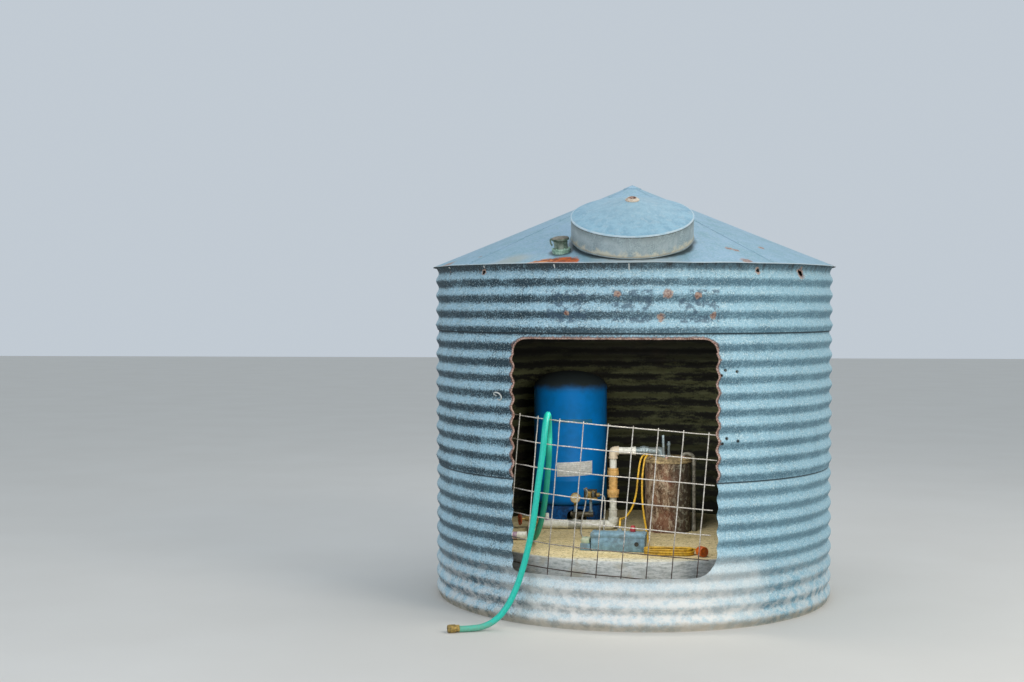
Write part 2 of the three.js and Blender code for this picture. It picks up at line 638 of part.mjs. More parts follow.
const weldDepth = WIRE - 0.9;
const columns = PANEL_FLAT_CELLS + PANEL_YAWS.length + 1;
const bends = PANEL_YAWS.map((_, i) => PANEL_FLAT_CELLS + i);
const panelWires = [];
for (let row = 0; row < PANEL_ROWS; row += 1) {
  const stops = [-PANEL_RIGHT_STUB / CELL, ...bends, columns - 1 + PANEL_LEFT_STUB / CELL];
  const points = stops.map((cells) => [...panelPlan(cells, -weldDepth), -row * CELL]);
  for (let i = 1; i < points.length; i += 1) {
    panelWires.push(rod(points[i - 1], points[i], WIRE, WIRE_SIDES));
  }
}
for (let column = 0; column < columns; column += 1) {
  const [x, y] = panelPlan(column, weldDepth);
  const foot = -(PANEL_ROWS - 1) * CELL - PANEL_FOOT;
  panelWires.push(rod([x, y, PANEL_TOP_STUB], [x, y, foot], WIRE, WIRE_SIDES));
}
add('wire_panel', join(...panelWires), dullWire, panelFrame);

// Hose from the valve, over the panel's top wire and down to the ground, with its end fitting
const HOSE_ROUTE = [
  [-470, 5, 303], [-470, -45, 302], [-467, -105, 296], [-461, -180, 288], [-452, -260, 286],
  [-440, -345, 293], [-424, -428, 319], [-404, -495, 369], [-386, -546, 440], [-372, -588, 525],
  [-362, -621, 608], [-356, -646, 675], [-353, -667.6, 732.8], [-353, -661.4, 780],
  [-353, -675.7, 825.4], [-353, -707.9, 861.6], [-353, -771, 882.7], [-355, -817.5, 871.4],
  [-358, -855.6, 842], [-361, -877.3, 799], [-366, -882, 745], [-373, -886, 690],
  [-384, -889, 610], [-397, -889, 510], [-412, -887, 410], [-431, -885, 322], [-453, -886, 240],
  [-480, -892, 163], [-513, -903, 97], [-556, -918, 47], [-608, -936, 20], [-660, -953, 14],
  [-705, -968, 14],
];
add('hose', tube(HOSE_ROUTE, HOSE_RADIUS, 42), tealRubber);
const fittingTurn = new THREE.Group();
const [[nearX, nearY], [endX, endY, endZ]] = HOSE_ROUTE.slice(-2);
fittingTurn.position.set(endX, endY, endZ + 3);
fittingTurn.rotation.z = Math.atan2(nearY - endY, nearX - endX);
shelter.add(fittingTurn);
add('hose_end', rod([-GAP, 0, 0], [-48, 0, 0], 16.5, 12), brass, fittingTurn);

// Pump cable, from the well seal to the back of the junction box
const PUMP_CABLE_ROUTE = [
  [84, 6, 632], [75.8, -2.1, 638.8], [66.7, -11, 641.1], [57.8, -19.8, 638.8], [49.9, -27.7, 632.4],
  [44, -33.4, 622.6], [38, -44, 602], [32, -66, 566], [27, -98, 524], [22, -138, 482],
  [14, -178, 447], [2, -228, 418], [-15, -290, 398], [-31, -350, 389], [-43, -400, 392],
  [-49, -434, 395.6], [-50.5, -452.2, 391.6], [-51.7, -464, 381], [-52.2, -469.2, 371.5],
  [-52.3, -470.2, 361.3],
];
add('pump_cable', tube(PUMP_CABLE_ROUTE, CABLE_RADIUS, 22), yellowJacket);

// Spare cable: down from the well seal into a hank on the slab, with its connector
const SPARE_CABLE_ROUTE = [
  [96, -8, 632], [88.8, -17.1, 638.8], [80.9, -27.1, 641.1], [73.1, -37, 638.8], [66.2, -45.8, 632.4],
  [61.1, -52.2, 622.6], [57, -60, 602], [51, -80, 560], [48, -108, 516], [48, -145, 468],
  [51, -192, 422], [57, -248, 378], [65, -312, 337], [72, -378, 305], [76, -436, 284],
  [77, -482, 275.4], [77, -523, 274.7], [79.7, -536.8, 274.7], [90.1, -551.5, 274.7],
];
add('spare_cable', tube(SPARE_CABLE_ROUTE, CABLE_RADIUS, 24), yellowJacket);
const hankEnd = HANK_WIDTH / 2;
const hankRun = HANK_LENGTH / 2 - hankEnd;
const hankOutline = new THREE.Shape();
hankOutline.moveTo(-hankRun, -hankEnd);
hankOutline.lineTo(hankRun, -hankEnd);
hankOutline.absarc(hankRun, 0, hankEnd, -Math.PI / 2, Math.PI / 2);
hankOutline.lineTo(-hankRun, hankEnd);
hankOutline.absarc(-hankRun, 0, hankEnd, Math.PI / 2, 1.5 * Math.PI);
const hank = new THREE.ExtrudeGeometry(hankOutline,
  { depth: HANK_HEIGHT, bevelEnabled: false, curveSegments: 8 });
add('cable_hank', closed(hank.translate(HANK_X, HANK_Y, floor)), yellowJacket);

// The connector lies beside the hank, where the cable's last strand leaves the right-hand fold
const connector = new THREE.Group();
connector.rotation.z = radians(CONNECTOR_TURN);
const leaving = new THREE.Vector3(CONNECTOR_RADIUS + CABLE_RADIUS * 4, hankEnd - CABLE_RADIUS, 0);
leaving.applyAxisAngle(new THREE.Vector3(0, 0, 1), connector.rotation.z);
connector.position.set(HANK_X + hankRun, HANK_Y, floor + CONNECTOR_RADIUS).add(leaving);
shelter.add(connector);
add('cable_connector', rod([0, 0, 0], [CONNECTOR_LENGTH, 0, 0], CONNECTOR_RADIUS, 14), orangePlastic,
  connector);

// Leads of the pressure switch, over the slab pipe to the boxes at the front
const SWITCH_LEAD_ROUTE = [
  [-153.7, 155, 425], [-144, 153, 425], [-134, 144, 418], [-129, 130, 398], [-128, 112, 368],
  [-129, 92, 342], [-131, 62, 322], [-132, 22, 298], [-130, -30, 280], [-126, -95, 274],
  [-120, -170, 273.6], [-114, -250, 273.6], [-110, -330, 275], [-109, -395, 284], [-110, -430, 297],
  [-111, -452.8, 303],
];
add('switch_lead', tube(SWITCH_LEAD_ROUTE, LEAD_RADIUS, 20), paleLead);
const BLOCK_LEAD_ROUTE = [
  [-222, 140, 404.9], [-222, 139, 394], [-224, 132, 376], [-228, 116, 356], [-232, 92, 342],
  [-236, 60, 326], [-238, 22, 300], [-238, -28, 280], [-234, -95, 274], [-226, -175, 273.6],
  [-216, -260, 273.6], [-207, -340, 275], [-201, -400, 283], [-198, -440, 293], [-197, -464.8, 298],
];
add('block_lead', tube(BLOCK_LEAD_ROUTE, LEAD_RADIUS, 20), paleLead);

export default shelter;
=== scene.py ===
"""Corrugated steel stock tank that shelters a well: its finishes, fine forms, hose and cables."""

import json
import math

import bmesh
import bpy
from bpy.props import FloatProperty, FloatVectorProperty, IntProperty, PointerProperty
from mathutils import Matrix, Vector, noise


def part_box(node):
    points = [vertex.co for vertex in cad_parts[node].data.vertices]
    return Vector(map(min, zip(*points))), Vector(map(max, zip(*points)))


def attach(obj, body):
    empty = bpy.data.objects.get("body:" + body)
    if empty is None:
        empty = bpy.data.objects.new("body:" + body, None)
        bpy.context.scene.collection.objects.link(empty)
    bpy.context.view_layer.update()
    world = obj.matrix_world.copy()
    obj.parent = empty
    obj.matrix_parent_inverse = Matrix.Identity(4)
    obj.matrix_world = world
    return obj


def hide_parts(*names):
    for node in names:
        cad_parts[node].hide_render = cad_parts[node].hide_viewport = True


bl_info = {
    "name": "Tank well house",
    "version": (1, 0, 0),
    "blender": (4, 5, 0),
    "location": "View3D > Sidebar > Well house",
    "description": "Dresses a corrugated tank that shelters a well and its pump gear",
    "category": "Object",
}

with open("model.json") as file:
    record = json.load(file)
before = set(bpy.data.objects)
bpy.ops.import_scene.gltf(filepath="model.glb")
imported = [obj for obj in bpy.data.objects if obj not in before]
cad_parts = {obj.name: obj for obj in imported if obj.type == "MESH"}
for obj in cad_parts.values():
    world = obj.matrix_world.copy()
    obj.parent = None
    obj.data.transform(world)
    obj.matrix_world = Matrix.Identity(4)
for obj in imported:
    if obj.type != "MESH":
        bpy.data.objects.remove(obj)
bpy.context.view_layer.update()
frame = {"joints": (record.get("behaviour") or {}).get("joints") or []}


def linear(code):
    """Linear colour of an sRGB hex code such as 0x8CA9B5."""
    channels = [(code >> shift & 255) / 255 for shift in (16, 8, 0)]
    return tuple(c / 12.92 if c < 0.04045 else ((c + 0.055) / 1.055) ** 2.4 for c in channels)


def length_of(name, default, description):
    """A length in metres that a user may change."""
    return FloatProperty(name=name, default=default, unit="LENGTH", description=description)


def angle_of(name, degrees, description):
    """An angle that a user may change."""
    return FloatProperty(name=name, default=math.radians(degrees), unit="ROTATION",
                         description=description)


def colour_of(name, code, description):
    """A colour that a user may change, from its sRGB hex code."""
    return FloatVectorProperty(name=name, default=linear(code), size=3, subtype="COLOR",
                               min=0.0, max=1.0, description=description)


class CameraSizes(bpy.types.PropertyGroup):
    """Where the picture is taken from."""

    distance: length_of("Distance", 6.82, "From the tank's axis to the lens")
    height: length_of("Height", 1.344, "Of the lens above the ground")
    focal_length: FloatProperty(name="Focal length", default=50.7, unit="CAMERA",
                                description="Of the lens, in millimetres")
    yaw: angle_of("Yaw", 4.76, "Turn to the left of the tank's axis")
    pitch: angle_of("Pitch", 1.43, "Tilt below the horizon")


class CordSizes(bpy.types.PropertyGroup):
    """Thicknesses and lengths of the hose and the cables."""

    hose: length_of("Hose", 0.026, "Outer diameter of the garden hose")
    cable: length_of("Cable", 0.009, "Outer diameter of the yellow cable")
    lead: length_of("Lead", 0.006, "Outer diameter of the switch's leads")
    hose_length: length_of("Hose length", 2.246, "Along its centreline")
    pump_length: length_of("Pump cable length", 0.627, "Along its centreline")
    spare_length: length_of("Spare cable length", 3.32, "Along its centreline, with the hank")
    switch_length: length_of("Switch lead length", 0.685, "Along its centreline")
    block_length: length_of("Block lead length", 0.665, "Along its centreline")


class WallSizes(bpy.types.PropertyGroup):
    """The corrugated rings of the wall."""

    radius: length_of("Radius", 0.9144, "Of the middle ring, at half the corrugation")
    ring_step: length_of("Ring step", 0.0015, "By which each ring stands outside the one below")
    pitch: length_of("Pitch", 0.6096 / 9, "Of the corrugation")
    amplitude: length_of("Amplitude", 0.00635, "Half the corrugation's depth")
    sheet: length_of("Sheet", 0.0012, "Thickness of the steel")
    rows: IntProperty(name="Rows", default=12, description="Rows of faces in each corrugation")
    step: angle_of("Step", 2.0, "Between the columns of faces")
    wobble: length_of("Wobble", 0.0022, "How far the wall is out of round")
    lap_back: length_of("Lap cut back", 0.0088, "How far the top ring's foot is cut back at the lap")
    lip: length_of("Lip", 0.0028, "By which a lapped edge stands off the sheet below")
    rivet: length_of("Rivet", 0.0042, "Radius of a rivet's head")
    rivet_spacing: length_of("Rivet spacing", 0.075, "Along a seam")


class DoorwaySizes(bpy.types.PropertyGroup):
    """The doorway that was cut through the wall."""

    left: length_of("Left", -0.502, "Left edge, along X")
    right: length_of("Right", 0.353, "Right edge, along X")
    sill: length_of("Sill", 0.220, "Lower edge, above the ground")
    head: length_of("Head", 1.205, "Upper edge, above the ground")
    top_corner: length_of("Top corners", 0.060, "Radius of the upper corners")
    right_corner: length_of("Right corner", 0.100, "Radius of the lower right corner")
    left_corner: length_of("Left corner", 0.025, "Radius of the lower left corner")
    ripple: length_of("Ripple", 0.0052, "Swing of the cut across each corrugation")
    low_ripple: length_of("Low ripple", 0.0030, "The same in the bottom ring")
    bead: length_of("Bead", 0.0038, "Radius of the rusty bead along the cut")


class RoofSizes(bpy.types.PropertyGroup):
    """The conical roof with its manhole and filler."""

    slope: angle_of("Slope", 22.5, "Of the roof")
    sheet: length_of("Sheet", 0.0012, "Thickness of the steel")
    dent: length_of("Dent", 0.0045, "Height of the sheet's waves at the eave")
    hatch_radius: length_of("Hatch radius", 0.668, "From the axis to the manhole's centre")
    hole: length_of("Hole", 0.232, "Radius of the manhole")
    collar: length_of("Collar", 0.246, "Outer radius of the manhole's collar")
    collar_sheet: length_of("Collar sheet", 0.002, "Thickness of the collar")
    lid: length_of("Lid", 0.259, "Radius of the lid")
    lid_sheet: length_of("Lid sheet", 0.0015, "Thickness of the lid")
    skirt_foot: length_of("Skirt foot", 0.003, "From the slope up to the lid's skirt")
    skirt_top: length_of("Skirt top", 0.101, "From the slope up to the lid's rim")
    crown: length_of("Crown", 0.078, "Rise of the lid's cone")
    lid_hole: length_of("Lid hole", 0.017, "Radius of the opening in the lid's middle")
    filler_radius: length_of("Filler radius", 0.812, "From the axis to the filler's centre")
    filler_angle: angle_of("Filler angle", -21.4, "Of the filler, from the front")
    filler_lean: angle_of("Filler lean", 13.0, "Of the filler, from the vertical")


class PipeSizes(bpy.types.PropertyGroup):
    """The pipes between the well, the slab and the pressure tank."""

    row: length_of("Row", 0.080, "Of the line from the well, along Y")
    line: length_of("Line", 0.648, "Of the line from the well, above the ground")
    drop: length_of("Drop", 0.141, "Of the pipe that rises from the well, along X")
    riser: length_of("Riser", -0.0885, "Of the pipe down to the slab, along X")
    small: length_of("Small pipe", 0.0167, "Radius of the pipes above the slab")
    large: length_of("Large pipe", 0.021, "Radius of the pipe along the slab")
    fitting: length_of("Fitting", 0.0224, "Radius of the largest fitting on the slab")
    tee: length_of("Tee", -0.272, "Of the tank's tee, along X")
    tee_row: length_of("Tee row", 0.155, "Of the tank's tee, along Y")
    tee_height: length_of("Tee height", 0.330, "Of the tank's tee, above the ground")
    valve: length_of("Valve", -0.470, "Of the hose valve, along X")
    valve_height: length_of("Valve height", 0.3028, "Of the hose valve, above the ground")


class PanelSizes(bpy.types.PropertyGroup):
    """The welded wire panel in the doorway."""

    cell: length_of("Cell", 0.104, "Between two wires")
    wire: length_of("Wire", 0.0024, "Radius of a wire")
    rows: IntProperty(name="Rows", default=8, description="Level wires")
    flat_cells: IntProperty(name="Flat cells", default=4, description="Cells to the right of the bend")
    right_stub: length_of("Right stub", 0.042, "Of a level wire, past the last upright")
    left_stub: length_of("Left stub", 0.030, "Of a level wire, past the first upright")
    top_stub: length_of("Top stub", 0.009, "Of an upright, above the top wire")
    foot: length_of("Foot", 0.083, "Of an upright, below the lowest wire")
    sway: length_of("Sway", 0.0012, "How far a wire strays from straight")
    tilt: angle_of("Tilt", 4.6, "Of the panel, down to the right")


class Colours(bpy.types.PropertyGroup):
    """Main colours of the finishes."""

    zinc: colour_of("Zinc", 0xA6CAD8, "Bright flanks of the corrugations")
    # The grime colour paints real dirt and also the painted shade on the wall's downward flanks and left
    # side
    grime: colour_of("Grime", 0x233842, "Specks and dirt on the wall")
    roof: colour_of("Roof", 0x80A7B3, "Roof sheets")
    lid: colour_of("Lid", 0x77A3B8, "Top of the lid")
    skirt: colour_of("Skirt", 0x78868A, "Side of the lid")
    rust: colour_of("Rust", 0x7E4A32, "Fresh rust")
    dark_rust: colour_of("Dark rust", 0x5E3A2A, "Old rust")
    # The inside colour paints the dirt of the inner faces and also their painted shade
    inside: colour_of("Inside", 0x15160D, "Dirty inner faces")
    concrete: colour_of("Concrete", 0xE4D5AA, "Dusty top of the slab")
    tank: colour_of("Tank", 0x0586E0, "Pressure tank")
    hose: colour_of("Hose", 0x18C2AC, "Garden hose")
    cable: colour_of("Cable", 0xDDB234, "Yellow cable")


class WellHouse(bpy.types.PropertyGroup):
    """Every size and colour that a user may change."""

    camera: PointerProperty(type=CameraSizes)
    cords: PointerProperty(type=CordSizes)
    wall: PointerProperty(type=WallSizes)
    doorway: PointerProperty(type=DoorwaySizes)
    roof: PointerProperty(type=RoofSizes)
    pipes: PointerProperty(type=PipeSizes)
    panel: PointerProperty(type=PanelSizes)
    colours: PointerProperty(type=Colours)


def settings():
    """The sizes and colours that are set now."""
    return bpy.context.scene.well_house


def metres(points):
    """Points that are written in millimetres, in metres to a thousandth of a millimetre."""
    return [tuple(round(value / 1000, 6) for value in point) for point in points]


# Cord routes, in millimetres as in the CAD: where each one leaves its fitting and how it lies
HOSE_ROUTE = metres([
    (-470, 5, 303), (-470, -45, 302), (-467, -105, 296), (-461, -180, 288), (-452, -260, 286),
    (-440, -345, 293), (-424, -428, 319), (-404, -495, 369), (-386, -546, 440), (-372, -588, 525),
    (-362, -621, 608), (-356, -646, 675), (-353, -667.6, 732.8), (-353, -661.4, 780),
    (-353, -675.7, 825.4), (-353, -707.9, 861.6), (-353, -771, 882.7), (-355, -817.5, 871.4),
    (-358, -855.6, 842), (-361, -877.3, 799), (-366, -882, 745), (-373, -886, 690),
    (-384, -889, 610), (-397, -889, 510), (-412, -887, 410), (-431, -885, 322), (-453, -886, 240),
    (-480, -892, 163), (-513, -903, 97), (-556, -918, 47), (-608, -936, 20), (-660, -953, 14),
    (-705, -968, 14),
])
PUMP_CABLE_ROUTE = metres([
    (84, 6, 632), (75.8, -2.1, 638.8), (66.7, -11, 641.1), (57.8, -19.8, 638.8),
    (49.9, -27.7, 632.4), (44, -33.4, 622.6), (38, -44, 602), (32, -66, 566), (27, -98, 524),
    (22, -138, 482), (14, -178, 447), (2, -228, 418), (-15, -290, 398), (-31, -350, 389),
    (-43, -400, 392), (-49, -434, 395.6), (-50.5, -452.2, 391.6), (-51.7, -464, 381),
    (-52.2, -469.2, 371.5), (-52.3, -470.2, 361.3),
])
SPARE_CABLE_ROUTE = metres([
    (96, -8, 632), (88.8, -17.1, 638.8), (80.9, -27.1, 641.1), (73.1, -37, 638.8),
    (66.2, -45.8, 632.4), (61.1, -52.2, 622.6), (57, -60, 602), (51, -80, 560), (48, -108, 516),
    (48, -145, 468), (51, -192, 422), (57, -248, 378), (65, -312, 337), (72, -378, 305),
    (76, -436, 284), (77, -482, 275.4), (77, -523, 274.7), (79.7, -536.8, 274.7), (90.1, -551.5, 274.7),
])
SWITCH_LEAD_ROUTE = metres([
    (-153.7, 155, 425), (-144, 153, 425), (-134, 144, 418), (-129, 130, 398), (-128, 112, 368),
    (-129, 92, 342), (-131, 62, 322), (-132, 22, 298), (-130, -30, 280), (-126, -95, 274),
    (-120, -170, 273.6), (-114, -250, 273.6), (-110, -330, 275), (-109, -395, 284),
    (-110, -430, 297), (-111, -452.8, 303),
])
BLOCK_LEAD_ROUTE = metres([
    (-222, 140, 404.9), (-222, 139, 394), (-224, 132, 376), (-228, 116, 356), (-232, 92, 342),
    (-236, 60, 326), (-238, 22, 300), (-238, -28, 280), (-234, -95, 274), (-226, -175, 273.6),
    (-216, -260, 273.6), (-207, -340, 275), (-201, -400, 283), (-198, -440, 293), (-197, -464.8, 298),
])


def move(x, y, z):
    """Matrix of a shift."""
    return Matrix.Translation((x, y, z))


def turn(degrees, axis):
    """Matrix of a turn about a main axis."""
    return Matrix.Rotation(math.radians(degrees), 4, axis)


def along(start, end):
    """Matrix that puts a form's foot at start, with its +Z toward end."""
    direction = Vector(end) - Vector(start)
    return Matrix.Translation(start) @ direction.to_track_quat("Z", "Y").to_matrix().to_4x4()


def fan(count, first=0.0):
    """Turns about the Z axis, evenly all round."""
    return [turn(first + 360 * i / count, "Z") for i in range(count)]


def around(radius, degrees, height):
    """The point at an angle round the axis, which is 0 at the front and grows to the right."""
    angle = math.radians(degrees)
    return Vector((radius * math.sin(angle), -radius * math.cos(angle), height))


def outward(point):
    """The level direction from the Z axis to a point."""
    return Vector((point.x, point.y, 0)).normalized()


def arc(across, up, start, end, steps, centre=(0.0, 0.0)):
    """Points along an ellipse round a centre, between two angles in degrees."""
    angles = [math.radians(start + (end - start) * i / steps) for i in range(steps + 1)]
    return [(centre[0] + across * math.cos(a), centre[1] + up * math.sin(a)) for a in angles]


def spread(start, end, steps):
    """Evenly spaced values from start to end."""
    return [start + (end - start) * i / steps for i in range(steps + 1)]


def upright(node):
    """Matrix of a round node's axis on the ground, with its radius, foot and top."""
    low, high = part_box(node)
    return move((low.x + high.x) / 2, (low.y + high.y) / 2, 0), (high.x - low.x) / 2, low.z, high.z


def softened(form, width, sharpest=40.0):
    """The form with its sharp edges bevelled."""
    edges = [e for e in form.edges if e.is_manifold and e.calc_face_angle(0) > math.radians(sharpest)]
    bmesh.ops.bevel(form, geom=edges, offset=width, offset_type="OFFSET", segments=2,
                    profile=0.5, affect="EDGES", clamp_overlap=True, material=-1)
    return form


def spun(outline, steps=48, start=0.0, span=360.0, closed=False):
    """An outline of (radius, height) points, turned about Z."""
    form = bmesh.new()
    points = [form.verts.new(around(radius, start, height)) for radius, height in outline]
    line = [form.edges.new(pair) for pair in zip(points, points[1:])]
    if closed:
        line.append(form.edges.new((points[-1], points[0])))
    full = span >= 360
    bmesh.ops.spin(form, geom=points + line, cent=(0, 0, 0), axis=(0, 0, 1), use_merge=full,
                   angle=math.radians(span), steps=steps)
    bmesh.ops.remove_doubles(form, verts=form.verts, dist=1e-5)
    if not full:
        bmesh.ops.holes_fill(form, edges=[e for e in form.edges if e.is_boundary], sides=0)
    bmesh.ops.recalc_face_normals(form, faces=form.faces)
    return form


def bar(start, end, radius, sides=20, soft=0.0):
    """A straight round bar, or one of few sides such as a nut."""
    form = bmesh.new()
    length = (Vector(end) - Vector(start)).length
    bmesh.ops.create_cone(form, cap_ends=True, segments=sides, radius1=radius, radius2=radius,
                          depth=length, matrix=along(start, end) @ move(0, 0, length / 2))
    return softened(form, soft) if soft else form


def brick(low, high, soft=0.0015):
    """A box between two corners, with soft edges."""
    form = bmesh.new()
    low, high = Vector(low), Vector(high)
    place = Matrix.Translation((low + high) / 2) @ Matrix.Diagonal((*(high - low), 1))
    bmesh.ops.create_cube(form, size=1.0, matrix=place)
    return softened(form, soft)


def ball(centre, radius, stretch=(1.0, 1.0, 1.0), segments=20):
    """A round or flattened ball."""
    form = bmesh.new()
    place = Matrix.Translation(centre) @ Matrix.Diagonal((*stretch, 1))
    bmesh.ops.create_uvsphere(form, u_segments=segments, v_segments=segments // 2 + 1,
                              radius=radius, matrix=place)
    return form


def prism(outline, near, far):
    """A flat (x, z) outline drawn out along Y."""
    form = bmesh.new()
    face = form.faces.new([form.verts.new((x, near, z)) for x, z in outline])
    drawn = bmesh.ops.extrude_face_region(form, geom=[face])
    moved = [item for item in drawn["geom"] if isinstance(item, bmesh.types.BMVert)]
    bmesh.ops.translate(form, verts=moved, vec=(0, far - near, 0))
    bmesh.ops.recalc_face_normals(form, faces=form.faces)
    return form


def linked(name, data):
    """A new object in the scene."""
    piece = bpy.data.objects.new(name, data)
    bpy.context.scene.collection.objects.link(piece)
    return piece


def curve_of(name, points, radius, smooth=True, radii=None, resolution=3, sides=2):
    """A curve object through the points, as thick as twice the radius."""
    curve = bpy.data.curves.new(name, "CURVE")
    curve.dimensions = "3D"
    curve.bevel_depth = radius
    curve.bevel_resolution = sides
    curve.resolution_u = resolution
    curve.use_fill_caps = True
    spline = curve.splines.new("BEZIER" if smooth else "POLY")
    knots = spline.bezier_points if smooth else spline.points
    knots.add(len(points) - 1)
    for i, (knot, point) in enumerate(zip(knots, points)):
        if smooth:
            knot.co = point
            knot.handle_left_type = knot.handle_right_type = "AUTO"
        else:
            knot.co = (*point, 1.0)
        if radii:
            knot.radius = radii[i]
    return linked(name, curve)


def loose_object(name, form):
    """An object of the form's mesh, in the scene."""
    mesh = bpy.data.meshes.new(name)
    form.to_mesh(mesh)
    form.free()
    return linked(name, mesh)


def evaluated_form(piece):
    """The surface of an object with its modifiers, as a form. The object is used up."""
    depsgraph = bpy.context.evaluated_depsgraph_get()
    mesh = bpy.data.meshes.new_from_object(piece.evaluated_get(depsgraph), depsgraph=depsgraph)
    form = bmesh.new()
    form.from_mesh(mesh)
    bpy.data.meshes.remove(mesh)
    bpy.data.objects.remove(piece)
    return form


def wire(points, radius, smooth=True, radii=None, resolution=3, sides=1):
    """A round wire or pipe through the points, closed at both ends."""
    form = evaluated_form(curve_of("wire", points, radius, smooth, radii, resolution, sides))
    bmesh.ops.remove_doubles(form, verts=form.verts, dist=1e-6)
    return form


def cut_with(form, *cutters):
    """The form without the space that the cutters hold."""
    kept = loose_object("kept", form)
    others = [loose_object("cutter", cutter) for cutter in cutters]
    for other in others:
        modifier = kept.modifiers.new("cut", "BOOLEAN")
        modifier.object = other
        modifier.solver = "EXACT"
    result = evaluated_form(kept)
    for other in others:
        bpy.data.objects.remove(other)
    return result


def marked(form, is_second):
    """The form, with its second material on each face whose centre and normal pass a test."""
    for face in form.faces:
        face.material_index = int(is_second(face.calc_center_median(), face.normal))
    return form


def swollen(form, depth_at):
    """The form, with each point moved out from the Z axis by the depth for that point."""
    for vert in form.verts:
        vert.co += outward(vert.co) * depth_at(vert.co)
    return form


def attribute_on(form, name, value_at):
    """Gives each point of a form a value that its material reads."""
    layer = form.verts.layers.float.new(name)
    for vert in form.verts:
        vert[layer] = value_at(vert.co)


class Shape:
    """A mesh that grows form by form, each with its material, and has a place of its own."""

    def __init__(self, place=Matrix()):
        self.mesh = bmesh.new()
        self.place = place

    def put(self, form, material=0, places=(Matrix(),)):
        """Adds the form at each place within its own. With None as material the form keeps its own."""
        source = bpy.data.meshes.new("form")
        form.to_mesh(source)
        form.free()
        first = len(self.mesh.faces)
        for place in places:
            copy = source.copy()
            copy.transform(self.place @ place)
            self.mesh.from_mesh(copy)
            bpy.data.meshes.remove(copy)
        bpy.data.meshes.remove(source)
        self.mesh.faces.ensure_lookup_table()
        if material is not None:
            for face in self.mesh.faces[first:]:
                face.material_index = material
        return self

    def rods(self, material, point_at, *rows):
        """Adds bars on one axis, each of two places on it, a radius, sides and a soft edge."""
        for start, end, radius, sides, soft in rows:
            self.put(bar(point_at(start), point_at(end), radius, sides, soft), material)
        return self

    def socket(self, start, end, radius, material=0):
        """Adds a pipe fitting's socket: a sleeve with a thicker rim at its open end."""
        start, end = Vector(start), Vector(end)
        length = (end - start).length
        self.rods(material, lambda reach: start.lerp(end, reach / length),
                  (0, length, radius - 0.0014, 32, 0.0006), (length - 0.006, length, radius, 32, 0.0012))

    def piece(self, name, materials, slot, replaces=(), body="shelter", sharp=40.0):
        """The finished piece, riding on its body."""
        made = loose_object(name, self.mesh)
        for material in materials:
            made.data.materials.append(finish(material))
        made.data.shade_smooth()
        made.data.set_sharp_from_angle(angle=math.radians(sharp))
        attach(made, body)
        if replaces:
            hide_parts(*replaces)
        return made


# Before the name of each finish made here, apart from the plain ones of the frame
FINISH = "weathered_"


def finish(name):
    """A finish that was made here, by its short name."""
    return bpy.data.materials[FINISH + name]


def maths(operation, reflected=False):
    """A method that adds a Math node on a value and, where the operation has one, another."""
    def method(self, *other):
        values = (*other, self) if reflected else (self, *other)
        return self.shader.node("ShaderNodeMath", {"operation": operation}, values)
    return method


class Value:
    """A socket's value, on which arithmetic adds Math nodes."""

    def __init__(self, shader, socket):
        self.shader = shader
        self.socket = socket

    __add__ = __radd__ = maths("ADD")
    __mul__ = __rmul__ = maths("MULTIPLY")
    __sub__, __rsub__ = maths("SUBTRACT"), maths("SUBTRACT", reflected=True)
    __truediv__, __rtruediv__ = maths("DIVIDE"), maths("DIVIDE", reflected=True)
    __pow__ = maths("POWER")
    atleast, atmost = maths("MAXIMUM"), maths("MINIMUM")
    cosine, absolute = maths("COSINE"), maths("ABSOLUTE")

    def rise(self, low, high):
        """0 below low and 1 above high, with a smooth step between them; high may be the lower."""
        flip = high < low
        levels = {"interpolation_type": "SMOOTHSTEP"}
        ends = {"Value": self, "From Min": min(low, high), "From Max": max(low, high),
                "To Min": float(flip), "To Max": float(not flip)}
        return self.shader.node("ShaderNodeMapRange", levels, ends)


